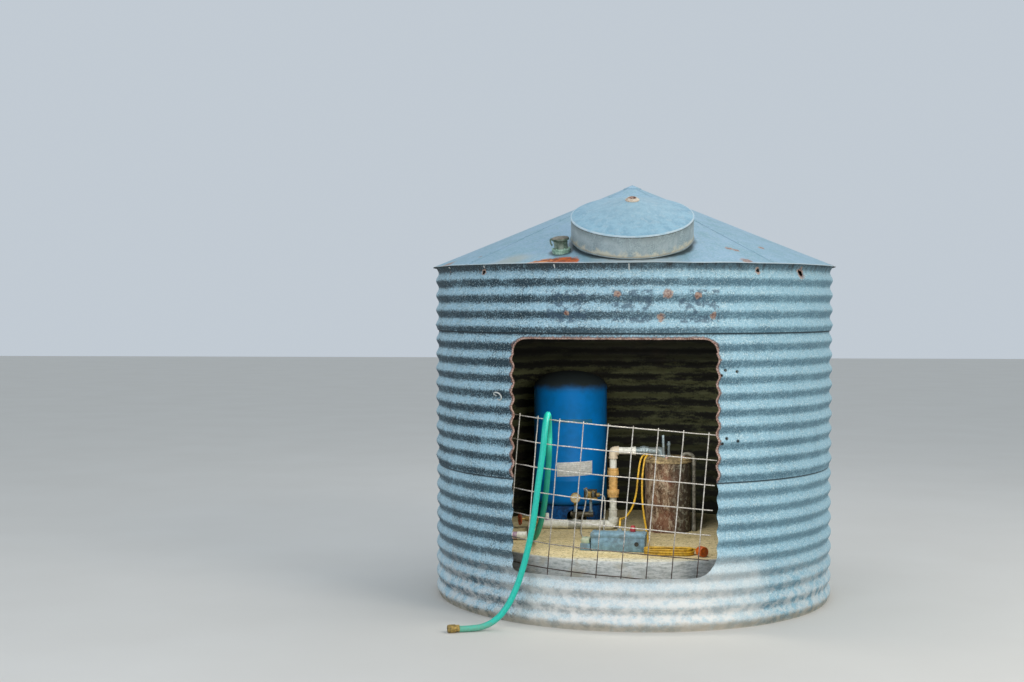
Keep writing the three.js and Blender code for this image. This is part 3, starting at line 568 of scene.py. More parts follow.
class Shader:
    """A material, its nodes, which read the piece's place in the frame, and its colour so far."""

    def __init__(self, name):
        self.material = bpy.data.materials.new(FINISH + name)
        self.material.use_nodes = True
        self.tree = self.material.node_tree
        self.surface = self.tree.nodes["Principled BSDF"]
        self.place = self.node("ShaderNodeTexCoord", {}, {}, "Object")
        self.x, self.y, self.z = (self.node("ShaderNodeSeparateXYZ", {}, [self.place], axis)
                                  for axis in "XYZ")

    def node(self, kind, choices, values, output=0):
        """One node: its settings first, then its sockets' values or links."""
        made = self.tree.nodes.new(kind)
        for name, choice in choices.items():
            setattr(made, name, choice)
        for key, value in values.items() if isinstance(values, dict) else enumerate(values):
            self.feed(made.inputs[key], value)
        return Value(self, made.outputs[output])

    def feed(self, socket, value):
        """Links a value to a socket, or sets it to a number, a colour or a colour's hex code."""
        if isinstance(value, Value):
            self.tree.links.new(value.socket, socket)
        elif socket.type == "RGBA":
            socket.default_value = (*(linear(value) if isinstance(value, int) else value), 1.0)
        else:
            socket.default_value = value

    def noise(self, scale, detail=2.0, rough=0.5, stretch=(1.0, 1.0, 1.0), shift=0.0, on=None):
        """Cloudy noise from 0 to 1, with its grain per metre."""
        spread_out = self.node("ShaderNodeMapping", {}, {
            "Vector": self.place if on is None else on,
            "Location": (shift, shift, shift), "Scale": stretch})
        return self.node("ShaderNodeTexNoise", {}, {
            "Vector": spread_out, "Scale": scale, "Detail": detail, "Roughness": rough})

    def flakes(self, scale):
        """A random value for each flake of a spangle."""
        colour = self.node("ShaderNodeTexVoronoi", {}, {"Vector": self.place, "Scale": scale}, "Color")
        return self.node("ShaderNodeSeparateColor", {}, [colour], "Red")

    def attribute(self, name):
        """A value that the mesh holds."""
        return self.node("ShaderNodeAttribute", {"attribute_name": name}, {}, "Fac")

    def near(self, point, reach, stretch=(1.0, 1.0, 1.0)):
        """1 at a point of the frame, falling to 0 at its reach along each stretched axis."""
        shifted = self.node("ShaderNodeVectorMath", {"operation": "SUBTRACT"}, [self.place, point])
        scaled = self.node("ShaderNodeVectorMath", {"operation": "MULTIPLY"}, [shifted, stretch])
        far = self.node("ShaderNodeVectorMath", {"operation": "LENGTH"}, [scaled], "Value")
        return 1.0 - (far / reach).atmost(1.0)

    def mix(self, share, first, second):
        """A colour between two, as the share goes from 0 to 1."""
        return self.node("ShaderNodeMix", {"data_type": "RGBA"},
                         {0: share, 6: first, 7: second}, 2)

    def base(self, share, first, second):
        """Starts the colour as a mix of two."""
        self.colour = self.mix(share, first, second)

    def lay(self, share, colour):
        """Lays another colour over the one so far, as thick as the share."""
        self.base(share, self.colour, colour)

    def bump(self, height, depth, strength=1.0, under=None):
        """The normal of a surface that a height raises by up to a depth in metres."""
        values = {"Height": height, "Distance": depth, "Strength": strength}
        if under is not None:
            values["Normal"] = under
        return self.node("ShaderNodeBump", {}, values, "Normal")

    def set(self, **values):
        """Feeds the surface the colour, and its roughness, metallic, normal and such."""
        for name, value in {"base_color": self.colour, **values}.items():
            self.feed(self.surface.inputs[name.replace("_", " ").title()], value)


def rust_spots(shader, spots, amount):
    """Lays round rust spots, each a point and its radius."""
    ragged = shader.noise(90.0, 3.0, 0.6)
    tint = shader.mix(ragged.rise(0.42, 0.58), settings().colours.rust, 0xB0907A)
    for point, reach in spots:
        shader.lay((shader.near(point, reach) + ragged * 1.1).rise(0.82, 1.10) * amount, tint)


def flank_shade_and_grime(shader):
    """1 on the flank of each corrugation that looks down, where shade is painted along with grime, and 0 on
    the other.
    """
    turns = shader.z / settings().wall.pitch - 0.23
    return ((turns * math.tau).cosine() * 0.5 + 0.5).rise(-0.05, 1.0)


def beside_cut(shader):
    """1 at the doorway's cut, falling to 0 a little way into the sheet."""
    door = settings().doorway
    reach = 0.017
    swing = (shader.z * (math.tau / settings().wall.pitch)).cosine() * door.ripple
    across = (shader.x - (door.left + door.right) / 2).absolute() + swing
    across = (across - ((door.right - door.left) / 2 - door.top_corner)).atleast(0.0)
    above = (shader.z - (door.head - door.top_corner)).atleast(0.0)
    beyond = (across * across + above * above) ** 0.5 - door.top_corner
    front = shader.y.rise(-0.3, -0.4) * shader.z.rise(0.604, 0.616)
    return (1.0 - beyond.absolute() / reach).atleast(0.0) * front


def faded_band(shader):
    """Lays the last blotches of a painted band round the front of the top ring."""
    faded = shader.noise(34.0, 4.0, 0.66, shift=7.0) + shader.noise(150.0, 2.0, 0.6) * 0.35
    band = shader.z.rise(1.266, 1.276) * shader.z.rise(1.412, 1.402)
    width = shader.x.rise(-0.44, -0.425) * shader.x.rise(0.425, 0.41) * shader.y.rise(0.0, -0.1)
    gaps = (shader.x * 23.0).cosine().rise(-0.45, -0.25)
    shader.lay(faded.rise(0.63, 0.76) * band * width * gaps * 0.74, 0x3A5062)


def pale_foot(shader, cloud, patch):
    """Lays the scoured zinc under the doorway and at the foot, and the soil below it."""
    scoured = (shader.noise(22.0, 3.0, 0.6, shift=2.0) + cloud).rise(0.30, 0.66)
    foot = shader.z.rise(0.33, 0.05) * scoured * 0.5
    sill = (shader.x.absolute() + patch * 0.5 + cloud * 0.4).rise(0.62, 0.38) * shader.y.rise(0.0, -0.1)
    sill = sill * shader.z.rise(0.34, 0.24)
    shader.lay(foot + sill * 0.42, 0xE8E6E0)
    soil = (shader.z.rise(0.11, 0.0) * 0.7 + cloud * 0.45 + 0.2).rise(0.62, 0.95)
    shader.lay(soil * 0.6, 0x9A8B6C)


def wall_zinc():
    """Old galvanised sheet: bright flanks, grime with painted shade on the flanks that look down, specks,
    painted light and shade that change from left to right, painted shadow under the laps, a scoured foot and
    rusty cuts.
    """
    colours, wall = settings().colours, settings().wall
    shader = Shader("wall_zinc")
    flank = flank_shade_and_grime(shader)
    grain = shader.noise(165.0, 3.0, 0.78) - 0.5
    cloud = shader.noise(26.0, 4.0, 0.62, stretch=(1.0, 1.0, 1.6)) - 0.5
    patch = shader.noise(5.0, 3.0, 0.55, shift=4.0) - 0.5
    upper = shader.z.rise(0.600, 0.622)
    # Dark specks: real grime, with painted shade on the flanks that look down and more painted shade toward
    # the left side
    grime_and_shade = flank * 0.80 + grain * 2.8 + cloud * 1.1 + patch * 0.8 + shader.x.rise(0.4, -0.6) * 0.16 + 0.03
    # Share toward the right side, for painted light and shade by side: darker bright zinc and paler grime
    # there
    right = shader.x.rise(-0.15, 0.6)
    specks = grime_and_shade.rise(0.05, 0.98) * (upper * 0.10 + 0.67 + shader.x.rise(0.5, -0.6) * 0.24)
    mottle = shader.noise(80.0, 3.0, 0.7, shift=3.0)
    shader.base(mottle.rise(0.42, 0.60) * 0.5, colours.zinc, 0x7CA4B4)
    shader.lay(right * 0.40, 0x80AFC0)
    shader.lay(specks, shader.mix(right, colours.grime, 0x2C5669))
    bright = shader.noise(190.0, 2.0, 0.6, shift=9.0) - flank * 0.10 + cloud * 0.3
    shader.lay(bright.rise(0.50, 0.66) * 0.65, 0xD4E8E8)
    for node, lift in (("top_sheet_front", wall.lap_back), ("middle_sheet_back_left", 0.0)):
        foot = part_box(node)[0].z + lift
        shade = shader.z.rise(foot - 0.008, foot - 0.003) * shader.z.rise(foot + 0.003, foot)
        shader.lay(shade * 0.85, 0x1B262B)
    runs = shader.noise(60.0, 2.0, 0.5, stretch=(1.0, 1.0, 0.06)).rise(0.40, 0.78)
    # Painted shadow under the eave, darkest just below it, with dirty runs streaking down from it
    eave = shader.z.rise(1.468, 1.512)
    shader.lay(eave * 0.35 + eave * runs * 0.55 + runs * 0.10, 0x34393A)
    pale_foot(shader, cloud, patch)
    faded_band(shader)
    spots = [((0.145, -0.905, 1.390), 0.034), ((0.118, -0.912, 1.292), 0.028),
             ((0.268, -0.880, 1.384), 0.026), ((0.335, -0.856, 1.300), 0.024),
             ((-0.060, -0.918, 1.388), 0.022), ((-0.270, -0.880, 1.310), 0.018)]
    spots += [(around(0.92, angle, height), reach * 2.8) for angle, height, reach in TORN_HOLES]
    rust_spots(shader, spots, 0.8)
    for angle, height in BOLT_HOLES:
        rim = shader.near(around(0.92, angle, height), 0.010, (1.0, 0.2, 1.0))
        shader.lay(rim.rise(0.15, 0.45) * 0.85, 0x14181A)
    fleck = shader.noise(120.0, 3.0, 0.6)
    burnt = (beside_cut(shader) + fleck * 0.9 - 0.45).rise(0.30, 0.65)
    shader.lay(burnt * 0.85, shader.mix(fleck.rise(0.4, 0.6), 0x33262A, 0x8A6252))
    dents = shader.bump(shader.noise(14.0, 2.0), 0.0016, 0.5)
    shader.set(metallic=0.16 - specks * 0.12, roughness=0.6 + specks * 0.24,
               normal=shader.bump(grain, 0.0007, 0.6, dents))


def inner_zinc():
    """Inner faces of the wall and roof: dull, brown and streaked, with painted shade on the downward flanks
    and toward the top, and darker towards the bottom.
    """
    shader = Shader("inner_zinc")
    cloud = shader.noise(13.0, 4.0, 0.65, stretch=(0.7, 0.7, 2.5))
    fine = shader.noise(110.0, 3.0, 0.65)
    streaks = shader.noise(7.0, 4.0, 0.6, stretch=(0.5, 0.5, 5.0))
    broken = shader.noise(26.0, 5.0, 0.7, stretch=(0.5, 0.5, 1.6), shift=6.0)
    # Dark stripes and patches: dirt, with painted shade on the flanks that look down
    dull = flank_shade_and_grime(shader) * 0.55 + cloud * 0.9 + fine * 0.8 + streaks * 1.6 + broken * 1.7
    shader.base((dull - 2.42).rise(0.0, 0.62), 0x646848, settings().colours.inside)
    # Painted shade toward the top, under the roof, and darker towards the bottom
    high = (shader.z + cloud * 0.04).rise(0.99, 1.10)
    low = (shader.z + cloud * 0.06).rise(0.78, 0.62)
    shader.lay(high * 0.80 + low * 0.5, 0x0A0C05)
    stain = shader.noise(7.0, 3.0, 0.6, stretch=(1.0, 1.0, 0.35), shift=3.0)
    shader.lay(stain.rise(0.5, 0.75) * 0.5, 0x2B2117)
    shader.set(metallic=0.1, roughness=0.75, normal=shader.bump(fine, 0.0004, 0.5))


def roof_zinc():
    """Smoother roof sheet, with radial runs, rust at the front eave, painted shadow round the fittings' feet
    and a painted highlight along the eave.
    """
    colours, roof = settings().colours, settings().roof
    shader = Shader("roof_zinc")
    cloud = shader.noise(11.0, 4.0, 0.6)
    fine = shader.noise(120.0, 3.0, 0.6)
    radius = (shader.x * shader.x + shader.y * shader.y) ** 0.5
    angle = shader.node("ShaderNodeMath", {"operation": "ARCTAN2"}, [shader.x, shader.y])
    rays = shader.node("ShaderNodeCombineXYZ", {}, [angle, radius * 0.12, 0.0])
    runs = shader.noise(42.0, 3.0, 0.6, on=rays)
    shader.base((cloud * 0.5 + fine * 0.5).rise(0.40, 0.62), 0x92B3C6, colours.roof)
    shader.lay(shader.noise(60.0, 4.0, 0.7, shift=1.0).rise(0.50, 0.70) * 0.35, 0xB9CBD2)
    shader.lay(runs.rise(0.55, 0.8) * radius.rise(0.1, 0.9) * 0.4, 0x7C93A0)
    pale = shader.near((0.02, -0.90, 1.53), 0.30, (1.0, 2.2, 1.0)) + cloud * 0.5
    shader.lay(pale.rise(0.5, 1.1) * 0.6, 0xCFD6D6)
    tan = shader.near((-0.52, -0.74, 1.53), 0.22, (1.0, 1.8, 1.0)) + cloud * 0.5
    shader.lay(tan.rise(0.55, 1.1) * 0.45, 0xB7AE95)
    ragged = shader.noise(42.0, 4.0, 0.65, shift=5.0)
    rusty = (shader.near((-0.365, -0.862, 1.525), 0.175, (0.80, 2.7, 1.0)) + ragged * 0.65).rise(0.58, 0.84)
    rusty = rusty.atleast((shader.near((-0.265, -0.885, 1.53), 0.075) + ragged * 0.6).rise(0.55, 0.8))
    burnt = shader.mix(shader.x.rise(-0.36, -0.29), 0xD68C58, 0xC2602A)
    shader.lay(rusty, shader.mix(ragged.rise(0.42, 0.60), 0x8A4A2C, burnt))
    spots = [((0.405, -0.660, 1.577), 0.030), ((0.436, -0.664, 1.574), 0.026), ((-0.83, -0.42, 1.52), 0.07),
             ((0.555, -0.515, 1.584), 0.028), ((0.472, -0.782, 1.520), 0.045),
             ((-0.66, -0.52, 1.55), 0.02), ((0.90, -0.20, 1.52), 0.05), ((0.1, 0.88, 1.54), 0.08),
             ((-0.5, 0.74, 1.54), 0.06)]
    rust_spots(shader, spots, 0.85)
    # Painted shadow round the feet of the lid and the filler
    hatch = shader.near(roof_point(roof.hatch_radius, 0), 0.31) + cloud * 0.14
    spout = shader.near(roof_point(roof.filler_radius, math.degrees(roof.filler_angle)), 0.08) + cloud * 0.2
    shader.lay(hatch.rise(0.16, 0.23).atleast(spout.rise(0.30, 0.55)) * 0.75, 0x34362F)
    # Painted highlight along the eave edge
    shader.lay((radius.rise(0.915, 0.937) + fine * 0.6).rise(0.85, 1.25) * 0.6, 0xCDD6D6)
    shader.set(metallic=0.3 - rusty * 0.28, roughness=0.46 + rusty * 0.4 + fine * 0.1,
               normal=shader.bump(cloud, 0.0012, 0.5, shader.bump(fine, 0.0003, 0.4)))


def lid_zinc():
    """Top of the lid: mottled and pale, worn at its middle, with a painted highlight at its rim."""
    shader = Shader("lid_zinc")
    cloud = shader.noise(24.0, 5.0, 0.68)
    fine = shader.noise(160.0, 2.0, 0.6)
    wear = shader.attribute("wear")
    shader.base((cloud * 0.7 + fine * 0.3).rise(0.40, 0.62), 0x90B9CA, settings().colours.lid)
    shader.lay((shader.flakes(70.0) * 0.5 + cloud * 0.6).rise(0.55, 0.95) * 0.30, 0xC6D4D6)
    shader.lay(wear.rise(-4.5, 0.0) * 0.35, 0xA9BCC0)
    # Painted highlight along the rim, broken by clouds
    shader.lay(shader.attribute("rim").rise(0.45, 0.85) * cloud.rise(0.25, 0.6) * 0.6, 0xDDE6E6)
    shader.lay((wear + cloud * 0.5).rise(0.75, 1.2) * 0.8, 0xA39480)
    shader.set(metallic=0.3, roughness=0.5 + fine * 0.12,
               normal=shader.bump(cloud, 0.0011, 0.5, shader.bump(fine, 0.0003, 0.4)))


def lid_skirt():
    """Side of the lid: grey and streaky, with painted shade under its upper edge, and a stained foot with
    painted shade along it.
    """
    shader = Shader("lid_skirt")
    runs = shader.noise(46.0, 3.0, 0.6, stretch=(1.0, 1.0, 0.18))
    cloud = shader.noise(16.0, 4.0, 0.6)
    fine = shader.noise(190.0, 2.0, 0.6)
    stain = shader.noise(30.0, 4.0, 0.65, shift=4.0)
    rim = shader.attribute("rim")
    foot = shader.attribute("wear") + cloud * 0.35
    shader.base((runs * 0.4 + fine * 0.6).rise(0.36, 0.66), 0xA4B4B6, settings().colours.skirt)
    shader.lay((cloud * 0.5 + runs * 0.5 + fine * 0.3).rise(0.56, 0.84) * 0.6, 0xC2CED0)
    # Painted shade under the rim's overhang, in clouds
    shader.lay(rim.rise(-1.2, 1.0) * (cloud + runs * 0.4).rise(0.50, 0.78) * 0.55, 0x56635F)
    shader.lay((foot * 0.5 + stain).rise(0.78, 1.0) * 0.7, 0xD8CDB0)
    # Brown stain along the foot, darkened as painted shade where the skirt stands clear of the roof
    shader.lay(foot.rise(0.85, 1.2) * (1 - stain * 0.6), 0x6E5A3C)
    # Painted shadow in a thin line just under the rim
    shader.lay((rim + fine * 0.3).rise(0.80, 1.1) * 0.85, 0x33332E)
    shader.set(metallic=0.25, roughness=0.58 + fine * 0.12,
               normal=shader.bump(cloud, 0.0012, 0.5, shader.bump(fine, 0.0003, 0.5)))


def concrete():
    """Slab: dusty tan on top with dark crumbs, paler and greyer down its side."""
    shader = Shader("concrete")
    cloud = shader.noise(9.0, 5.0, 0.62)
    fine = shader.noise(140.0, 3.0, 0.7)
    top = shader.z.rise(0.262, 0.268)
    coarse = shader.noise(38.0, 5.0, 0.72, stretch=(0.6, 0.6, 2.6), shift=2.0)
    shader.base(coarse.rise(0.36, 0.58), 0xB2B8B2, 0xE4E6E0)
    shader.lay(cloud.rise(0.50, 0.68) * 0.5, 0xC4B79A)
    grit = (cloud * 0.3 + fine * 0.7).rise(0.40, 0.60)
    shader.lay(top, shader.mix(grit, 0xC0B07E, settings().colours.concrete))
    rim = (shader.y.rise(-0.60, -0.80) + cloud * 0.5).rise(0.55, 1.05) * 0.62
    shader.lay(rim * top, 0xC6CCC8)
    crumbs = shader.noise(62.0, 4.0, 0.7, shift=6.0)
    shader.lay(crumbs.rise(0.54, 0.62) * (top * 0.46 + 0.14), 0x54482F)
    chips = shader.noise(85.0, 2.0, 0.5, stretch=(0.35, 1.6, 1.0), shift=12.0).rise(0.60, 0.66)
    shader.lay(chips * top * 0.6, 0xE4D8B4)
    shader.lay(shader.noise(4.0, 3.0, 0.6, shift=8.0).rise(0.5, 0.72) * 0.3, 0x8A8268)
    shader.set(roughness=0.9, normal=shader.bump(fine, 0.0016, 0.8, shader.bump(coarse, 0.005, 0.7)))


def tank_blue():
    """Pressure tank's enamel: bright blue, its dome dusty and darkened by painted shade, thinly dusty below,
    and darker towards the bottom.
    """
    shader = Shader("blue_paint")
    cloud = shader.noise(12.0, 4.0, 0.6)
    fine = shader.noise(240.0, 2.0, 0.6)
    shader.base(cloud.rise(0.4, 0.7) * 0.5, settings().colours.tank, 0x0A72B8)
    runs = shader.noise(50.0, 3.0, 0.55, stretch=(1.0, 1.0, 0.08))
    shader.lay((runs * 0.7 + fine * 0.3).rise(0.56, 0.74) * 0.18, 0x0A7AC0)
    # Dusty dome, darkened further as painted shade
    dust_and_shade = (shader.z.rise(0.880, 0.975) + cloud * 0.5 - 0.25).rise(0.1, 0.9)
    shader.lay(dust_and_shade * 0.96, 0x2A2B14)
    shader.lay((shader.z.rise(0.42, 0.345) + fine * 0.4).rise(0.6, 1.2) * 0.4, 0x1B3A52)
    shader.set(roughness=0.42 + dust_and_shade * 0.45 + fine * 0.08, normal=shader.bump(fine, 0.0001, 0.3))
    shader.surface.inputs["Specular IOR Level"].default_value = 0.22


def panel_wire():
    """Galvanised wire, pale above, with painted shade on the lower rows."""
    shader = Shader("panel_wire")
    fine = shader.noise(160.0, 3.0, 0.65)
    shader.base(fine.rise(0.4, 0.65), 0xB8B0A4, 0xE6E2D8)
    # Painted shade on the lower rows, in a dark brown
    shader.lay((shader.z + fine * 0.10).rise(0.47, 0.33), 0x4A3B31)
    shader.set(metallic=0.2, roughness=0.6, normal=shader.bump(fine, 0.0003, 0.5))


def hose_teal():
    """Garden hose: teal, with painted shade inside the tank, dusty at the ground."""
    shader = Shader("teal_hose")
    fine = shader.noise(120.0, 3.0, 0.6)
    shader.base(fine.rise(0.4, 0.7) * 0.4, settings().colours.hose, 0x0E9C8C)
    # Painted shade on the hose inside the tank
    shader.lay(shader.y.rise(-0.80, -0.72) * 0.6, 0x1E7E5C)
    shader.lay((shader.z.rise(0.10, 0.0) * 0.6 + fine * 0.5).rise(0.5, 0.9) * 0.5, 0x8E9B7B)
    shader.set(roughness=0.38 + fine * 0.15, normal=shader.bump(fine, 0.0002, 0.3))


def flaking_rust():
    """Rusty steel of the casing: brown scale in layers, with grey and pale crusts, and a painted shadow over
    its right side.
    """
    shader = Shader("rusty_steel")
    scale = shader.noise(34.0, 6.0, 0.74, stretch=(1.0, 1.0, 0.5))
    fine = shader.noise(170.0, 3.0, 0.7)
    shader.base((scale * 0.7 + fine * 0.3).rise(0.42, 0.60), 0x46301F, 0x8A7058)
    shader.lay(shader.noise(11.0, 3.0, 0.6, shift=2.0).rise(0.46, 0.62) * 0.42, 0x7E4836)
    crust = shader.noise(55.0, 5.0, 0.75, stretch=(1.0, 1.0, 0.4), shift=5.0) + fine * 0.25
    shader.lay(crust.rise(0.60, 0.74) * 0.8, 0xB7A68E)
    lichen = shader.noise(48.0, 4.0, 0.7, shift=9.0).rise(0.52, 0.62)
    # Painted shadow over the right side of the casing, with grey-green lichen patches in it
    shader.lay(shader.x.rise(0.16, 0.23) * 0.75, shader.mix(lichen, 0x38352E, 0x8F9284))
    shader.set(roughness=0.88, normal=shader.bump(scale, 0.004, 0.9, shader.bump(fine, 0.0008, 0.7)))


def aged(name, first, second, dirt, grain, dirty, metallic, roughness, depth=0.0003):
    """A finish of two close colours, with dirt in its clouds and a fine grain."""
    shader = Shader(name)
    fine = shader.noise(grain, 4.0, 0.65)
    cloud = shader.noise(grain / 6, 3.0, 0.6, shift=3.0)
    soiled = (cloud * 0.65 + fine * 0.35).rise(0.42, 0.66) * dirty
    shader.base(fine.rise(0.35, 0.65), first, second)
    shader.lay(soiled, dirt)
    shader.set(roughness=roughness + soiled * 0.3, metallic=metallic, normal=shader.bump(fine, depth, 0.5))


class MakeFinishes(bpy.types.Operator):
    """Make every material of the well house"""

    bl_idname = "well_house.finishes"
    bl_label = "Finishes"

    def execute(self, context):
        colours = settings().colours
        for make in (wall_zinc, inner_zinc, roof_zinc, lid_zinc, lid_skirt, concrete, tank_blue,
                     panel_wire, hose_teal, flaking_rust):
            make()
        dirt = 0x6B5B40
        # Name, two colours, dirt, grain, how dirty, metallic, roughness and depth of the grain
        for row in (
                ("edge_rust", 0xCDB4A6, 0x8E6252, colours.dark_rust, 190.0, 0.85, 0.0, 0.85, 0.0008),
                ("ring_rust", 0xDCD2C2, 0xC0AE98, 0x9A6A48, 110.0, 0.5, 0.0, 0.8, 0.0006),
                ("grey_metal", 0x9FB0B6, 0x7F9096, dirt, 120.0, 0.5, 0.35, 0.48),
                ("dull_pipe", 0x8E8C80, 0x66635A, 0x3E362A, 90.0, 0.6, 0.2, 0.6),
                ("filler_metal", 0x8A9688, 0x55705C, 0x2A3028, 46.0, 0.6, 0.2, 0.6),
                ("pale_green_metal", 0xB4D2BC, 0x8AB098, 0x4A5A4C, 70.0, 0.5, 0.1, 0.6),
                ("dusty_cap", 0x9A9486, 0x77766A, 0x3A3830, 60.0, 0.5, 0.1, 0.75),
                ("dark_paint", 0x0A6CC0, 0x0A4E90, 0x1C2A38, 70.0, 0.6, 0.0, 0.5),
                ("tan_plastic", 0xEABE7A, 0xD8AA62, dirt, 80.0, 0.35, 0.0, 0.5),
                ("dusty_seal", 0xC9B284, 0x9C8A66, 0x5E5240, 60.0, 0.75, 0.0, 0.7),
                ("white_plastic", 0xF0F2EC, 0xDCDED6, 0x9A967E, 60.0, 0.38, 0.0, 0.42),
                ("peach_plastic", 0xDFD2BA, 0xD2C4B0, dirt, 60.0, 0.35, 0.0, 0.45),
                ("primer_stain", 0x9C7FA0, 0xC9BCC4, dirt, 60.0, 0.3, 0.0, 0.5),
                ("brass", 0xC2A254, 0x8A7444, 0x3A3A30, 110.0, 0.5, 0.35, 0.45),
                ("old_brass", 0x6E6650, 0x4A463A, 0x2A2822, 110.0, 0.6, 0.4, 0.5),
                ("orange_paint", 0xC05428, 0x8E3A20, dirt, 90.0, 0.4, 0.0, 0.6),
                ("box_paint", 0x84A8BA, 0x688A9C, 0x6A6A5E, 50.0, 0.5, 0.1, 0.45),
                ("yellow_jacket", colours.cable, 0xC79A28, 0x6B5424, 90.0, 0.6, 0.0, 0.45),
                ("orange_plastic", 0xD8691E, 0xB24E18, dirt, 70.0, 0.4, 0.0, 0.45),
                ("pale_jacket", 0xDDE0DC, 0xB9BDB8, dirt, 90.0, 0.45, 0.0, 0.5),
                ("red_plastic", 0xC02A3C, 0x96202E, dirt, 70.0, 0.2, 0.0, 0.35),
                ("black_plastic", 0x20211E, 0x33342F, dirt, 90.0, 0.5, 0.0, 0.55),
                ("dial_face", 0xECE4C4, 0xDCCFA0, 0xB08850, 60.0, 0.5, 0.0, 0.35),
                ("silver_label", 0xFAFCFC, 0xDCE2E4, 0xB8A68C, 60.0, 0.25, 0.0, 0.4),
                ("green_tape", 0xA9C3A4, 0xC9D2BC, dirt, 60.0, 0.4, 0.0, 0.5),
                ("worn_print", 0x2F7F86, 0x0F68B4, 0x0F68B4, 140.0, 0.5, 0.0, 0.4)):
            aged(*row)
        return {"FINISHED"}


class MakeCamera(bpy.types.Operator):
    """Set up the camera at the picture's viewing angle"""

    bl_idname = "well_house.camera"
    bl_label = "Camera"

    def execute(self, context):
        sizes = settings().camera
        lens = bpy.data.cameras.new("camera")
        lens.lens = sizes.focal_length
        lens.sensor_width = 36.0
        camera = linked("camera", lens)
        camera.location = (0.0, -sizes.distance, sizes.height)
        camera.rotation_euler = (math.pi / 2 - sizes.pitch, 0.0, sizes.yaw)
        context.scene.camera = camera
        return {"FINISHED"}


def cord_piece(name, route, diameter, slot, replaced):
    """A cord along its route, as a curve that rides on the shelter."""
    cord = curve_of(name, route, diameter / 2, resolution=6, sides=4)
    cord.data.materials.append(finish(slot))
    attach(cord, "shelter")
    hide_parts(*replaced)
    return cord


class MakeHose(bpy.types.Operator):
    """Hang the hose over the wire panel, and put the coupling on its end"""

    bl_idname = "well_house.hose"
    bl_label = "Hose"

    def execute(self, context):
        sizes = settings().cords
        hose = cord_piece("garden_hose", HOSE_ROUTE, sizes.hose, "teal_hose", ["hose"])
        end = Vector(HOSE_ROUTE[-1]) + Vector((0, 0, 0.003))
        ahead = (Vector(HOSE_ROUTE[-1]) - Vector(HOSE_ROUTE[-2])).normalized()
        place = along(end, end + ahead)
        shell = metres([(0, 0), (14.5, 0), (14.5, 14), (16.5, 16), (16.5, 46), (15.5, 48), (12.5, 48),
                        (12.5, 30), (0, 30)])
        coupling = Shape(place).put(spun(shell, 24))
        ridge = brick((-0.0014, -0.0172, 0.018), (0.0014, -0.0155, 0.040), 0.0004)
        coupling.put(ridge, 0, fan(12))
        end_piece = coupling.piece("hose_coupling", ["brass"], "brass", ["hose_end"])
        return {"FINISHED"}


# Column and layer of each turn in the hank, in the order they are laid
HANK_SLOTS = ((0, 0), (1, 0), (1, 1), (0, 1), (1, 2), (0, 2))


def hank_point(middle, run, radius, travelled, height):
    """A point of one turn, by its way along: back run, right fold, front run, left fold."""
    bend = math.pi * radius
    side = 1 if travelled < run + bend else -1
    travelled -= 0 if side > 0 else run + bend
    if travelled < run:
        return middle.x + side * (travelled - run / 2), middle.y + side * radius, height
    angle = (travelled - run) / radius
    return (middle.x + side * (run / 2 + radius * math.sin(angle)),
            middle.y + side * radius * math.cos(angle), height)


def hank_route(start):
    """The turns of the hank from where the cable joins it, up to where the last one leaves it."""
    cable = settings().cords.cable
    low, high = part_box("cable_hank")
    middle, width = (low + high) / 2, high.y - low.y
    run = high.x - low.x - width
    points, travelled = [], start - (middle.x - run / 2)
    for (column, layer), (next_column, next_layer) in zip(HANK_SLOTS, HANK_SLOTS[1:] + HANK_SLOTS[-1:]):
        outer = width / 2 - cable / 2
        length = 2 * run + math.tau * (outer - cable * column)
        last = (column, layer) == HANK_SLOTS[-1]
        stop = run + outer * math.pi / 3 if last else length
        steps = round((stop - travelled) / 0.028)
        for step in range(steps + last):
            share = (travelled + (stop - travelled) * step / steps) / length
            blend = max(0.0, (share - 0.75) / 0.25)
            radius = outer - cable * (column + (next_column - column) * blend)
            height = low.z + cable * (0.52 + layer + (next_layer - layer) * blend)
            points.append(hank_point(middle, run, radius, share * (2 * run + math.tau * radius), height))
        travelled = 0.0
    return points


class MakeCables(bpy.types.Operator):
    """Lay the pump cable, the spare cable with its hank and connector, and the switch's leads"""

    bl_idname = "well_house.cables"
    bl_label = "Cables"

    def execute(self, context):
        sizes = settings().cords
        pump = cord_piece("pump_cable_run", PUMP_CABLE_ROUTE, sizes.cable, "yellow_jacket", ["pump_cable"])
        connector, entry = self.connector()
        route = [*SPARE_CABLE_ROUTE, *hank_route(0.113), entry]
        spare = cord_piece("spare_cable_run", route, sizes.cable, "yellow_jacket",
                           ["spare_cable", "cable_hank"])
        for name, route, length, node in (
                ("switch_lead_run", SWITCH_LEAD_ROUTE, sizes.switch_length, "switch_lead"),
                ("block_lead_run", BLOCK_LEAD_ROUTE, sizes.block_length, "block_lead")):
            lead = cord_piece(name, route, sizes.lead, "pale_jacket", [node])
            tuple(route[0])
        return {"FINISHED"}

    def connector(self):
        """The spare cable's connector, lying beside the hank, and where the cable enters it."""
        low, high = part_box("cable_connector")
        ahead = Vector((0.5, -math.sqrt(0.75), 0.0))
        radius, half = 0.022, 0.028
        back = (low + high) / 2 - ahead * half
        body = metres([(0, 0), (9, 0), (11, 3), (14.5, 12), (19.5, 18), (20.8, 22), (20.8, 46), (22, 48),
                       (22, 53.5), (20.5, 55.5), (0, 55.5)])
        place = along(back, back + ahead)
        shape = Shape(place).put(spun(body, 32))
        rib = brick((-0.0028, -radius, 0.021), (0.0028, -0.0195, 0.047), 0.0009)
        shape.put(rib, 0, fan(8))
        made = shape.piece("cable_connector_body", ["orange_plastic"], "orange_plastic", ["cable_connector"])
        return made, back + ahead * 0.006


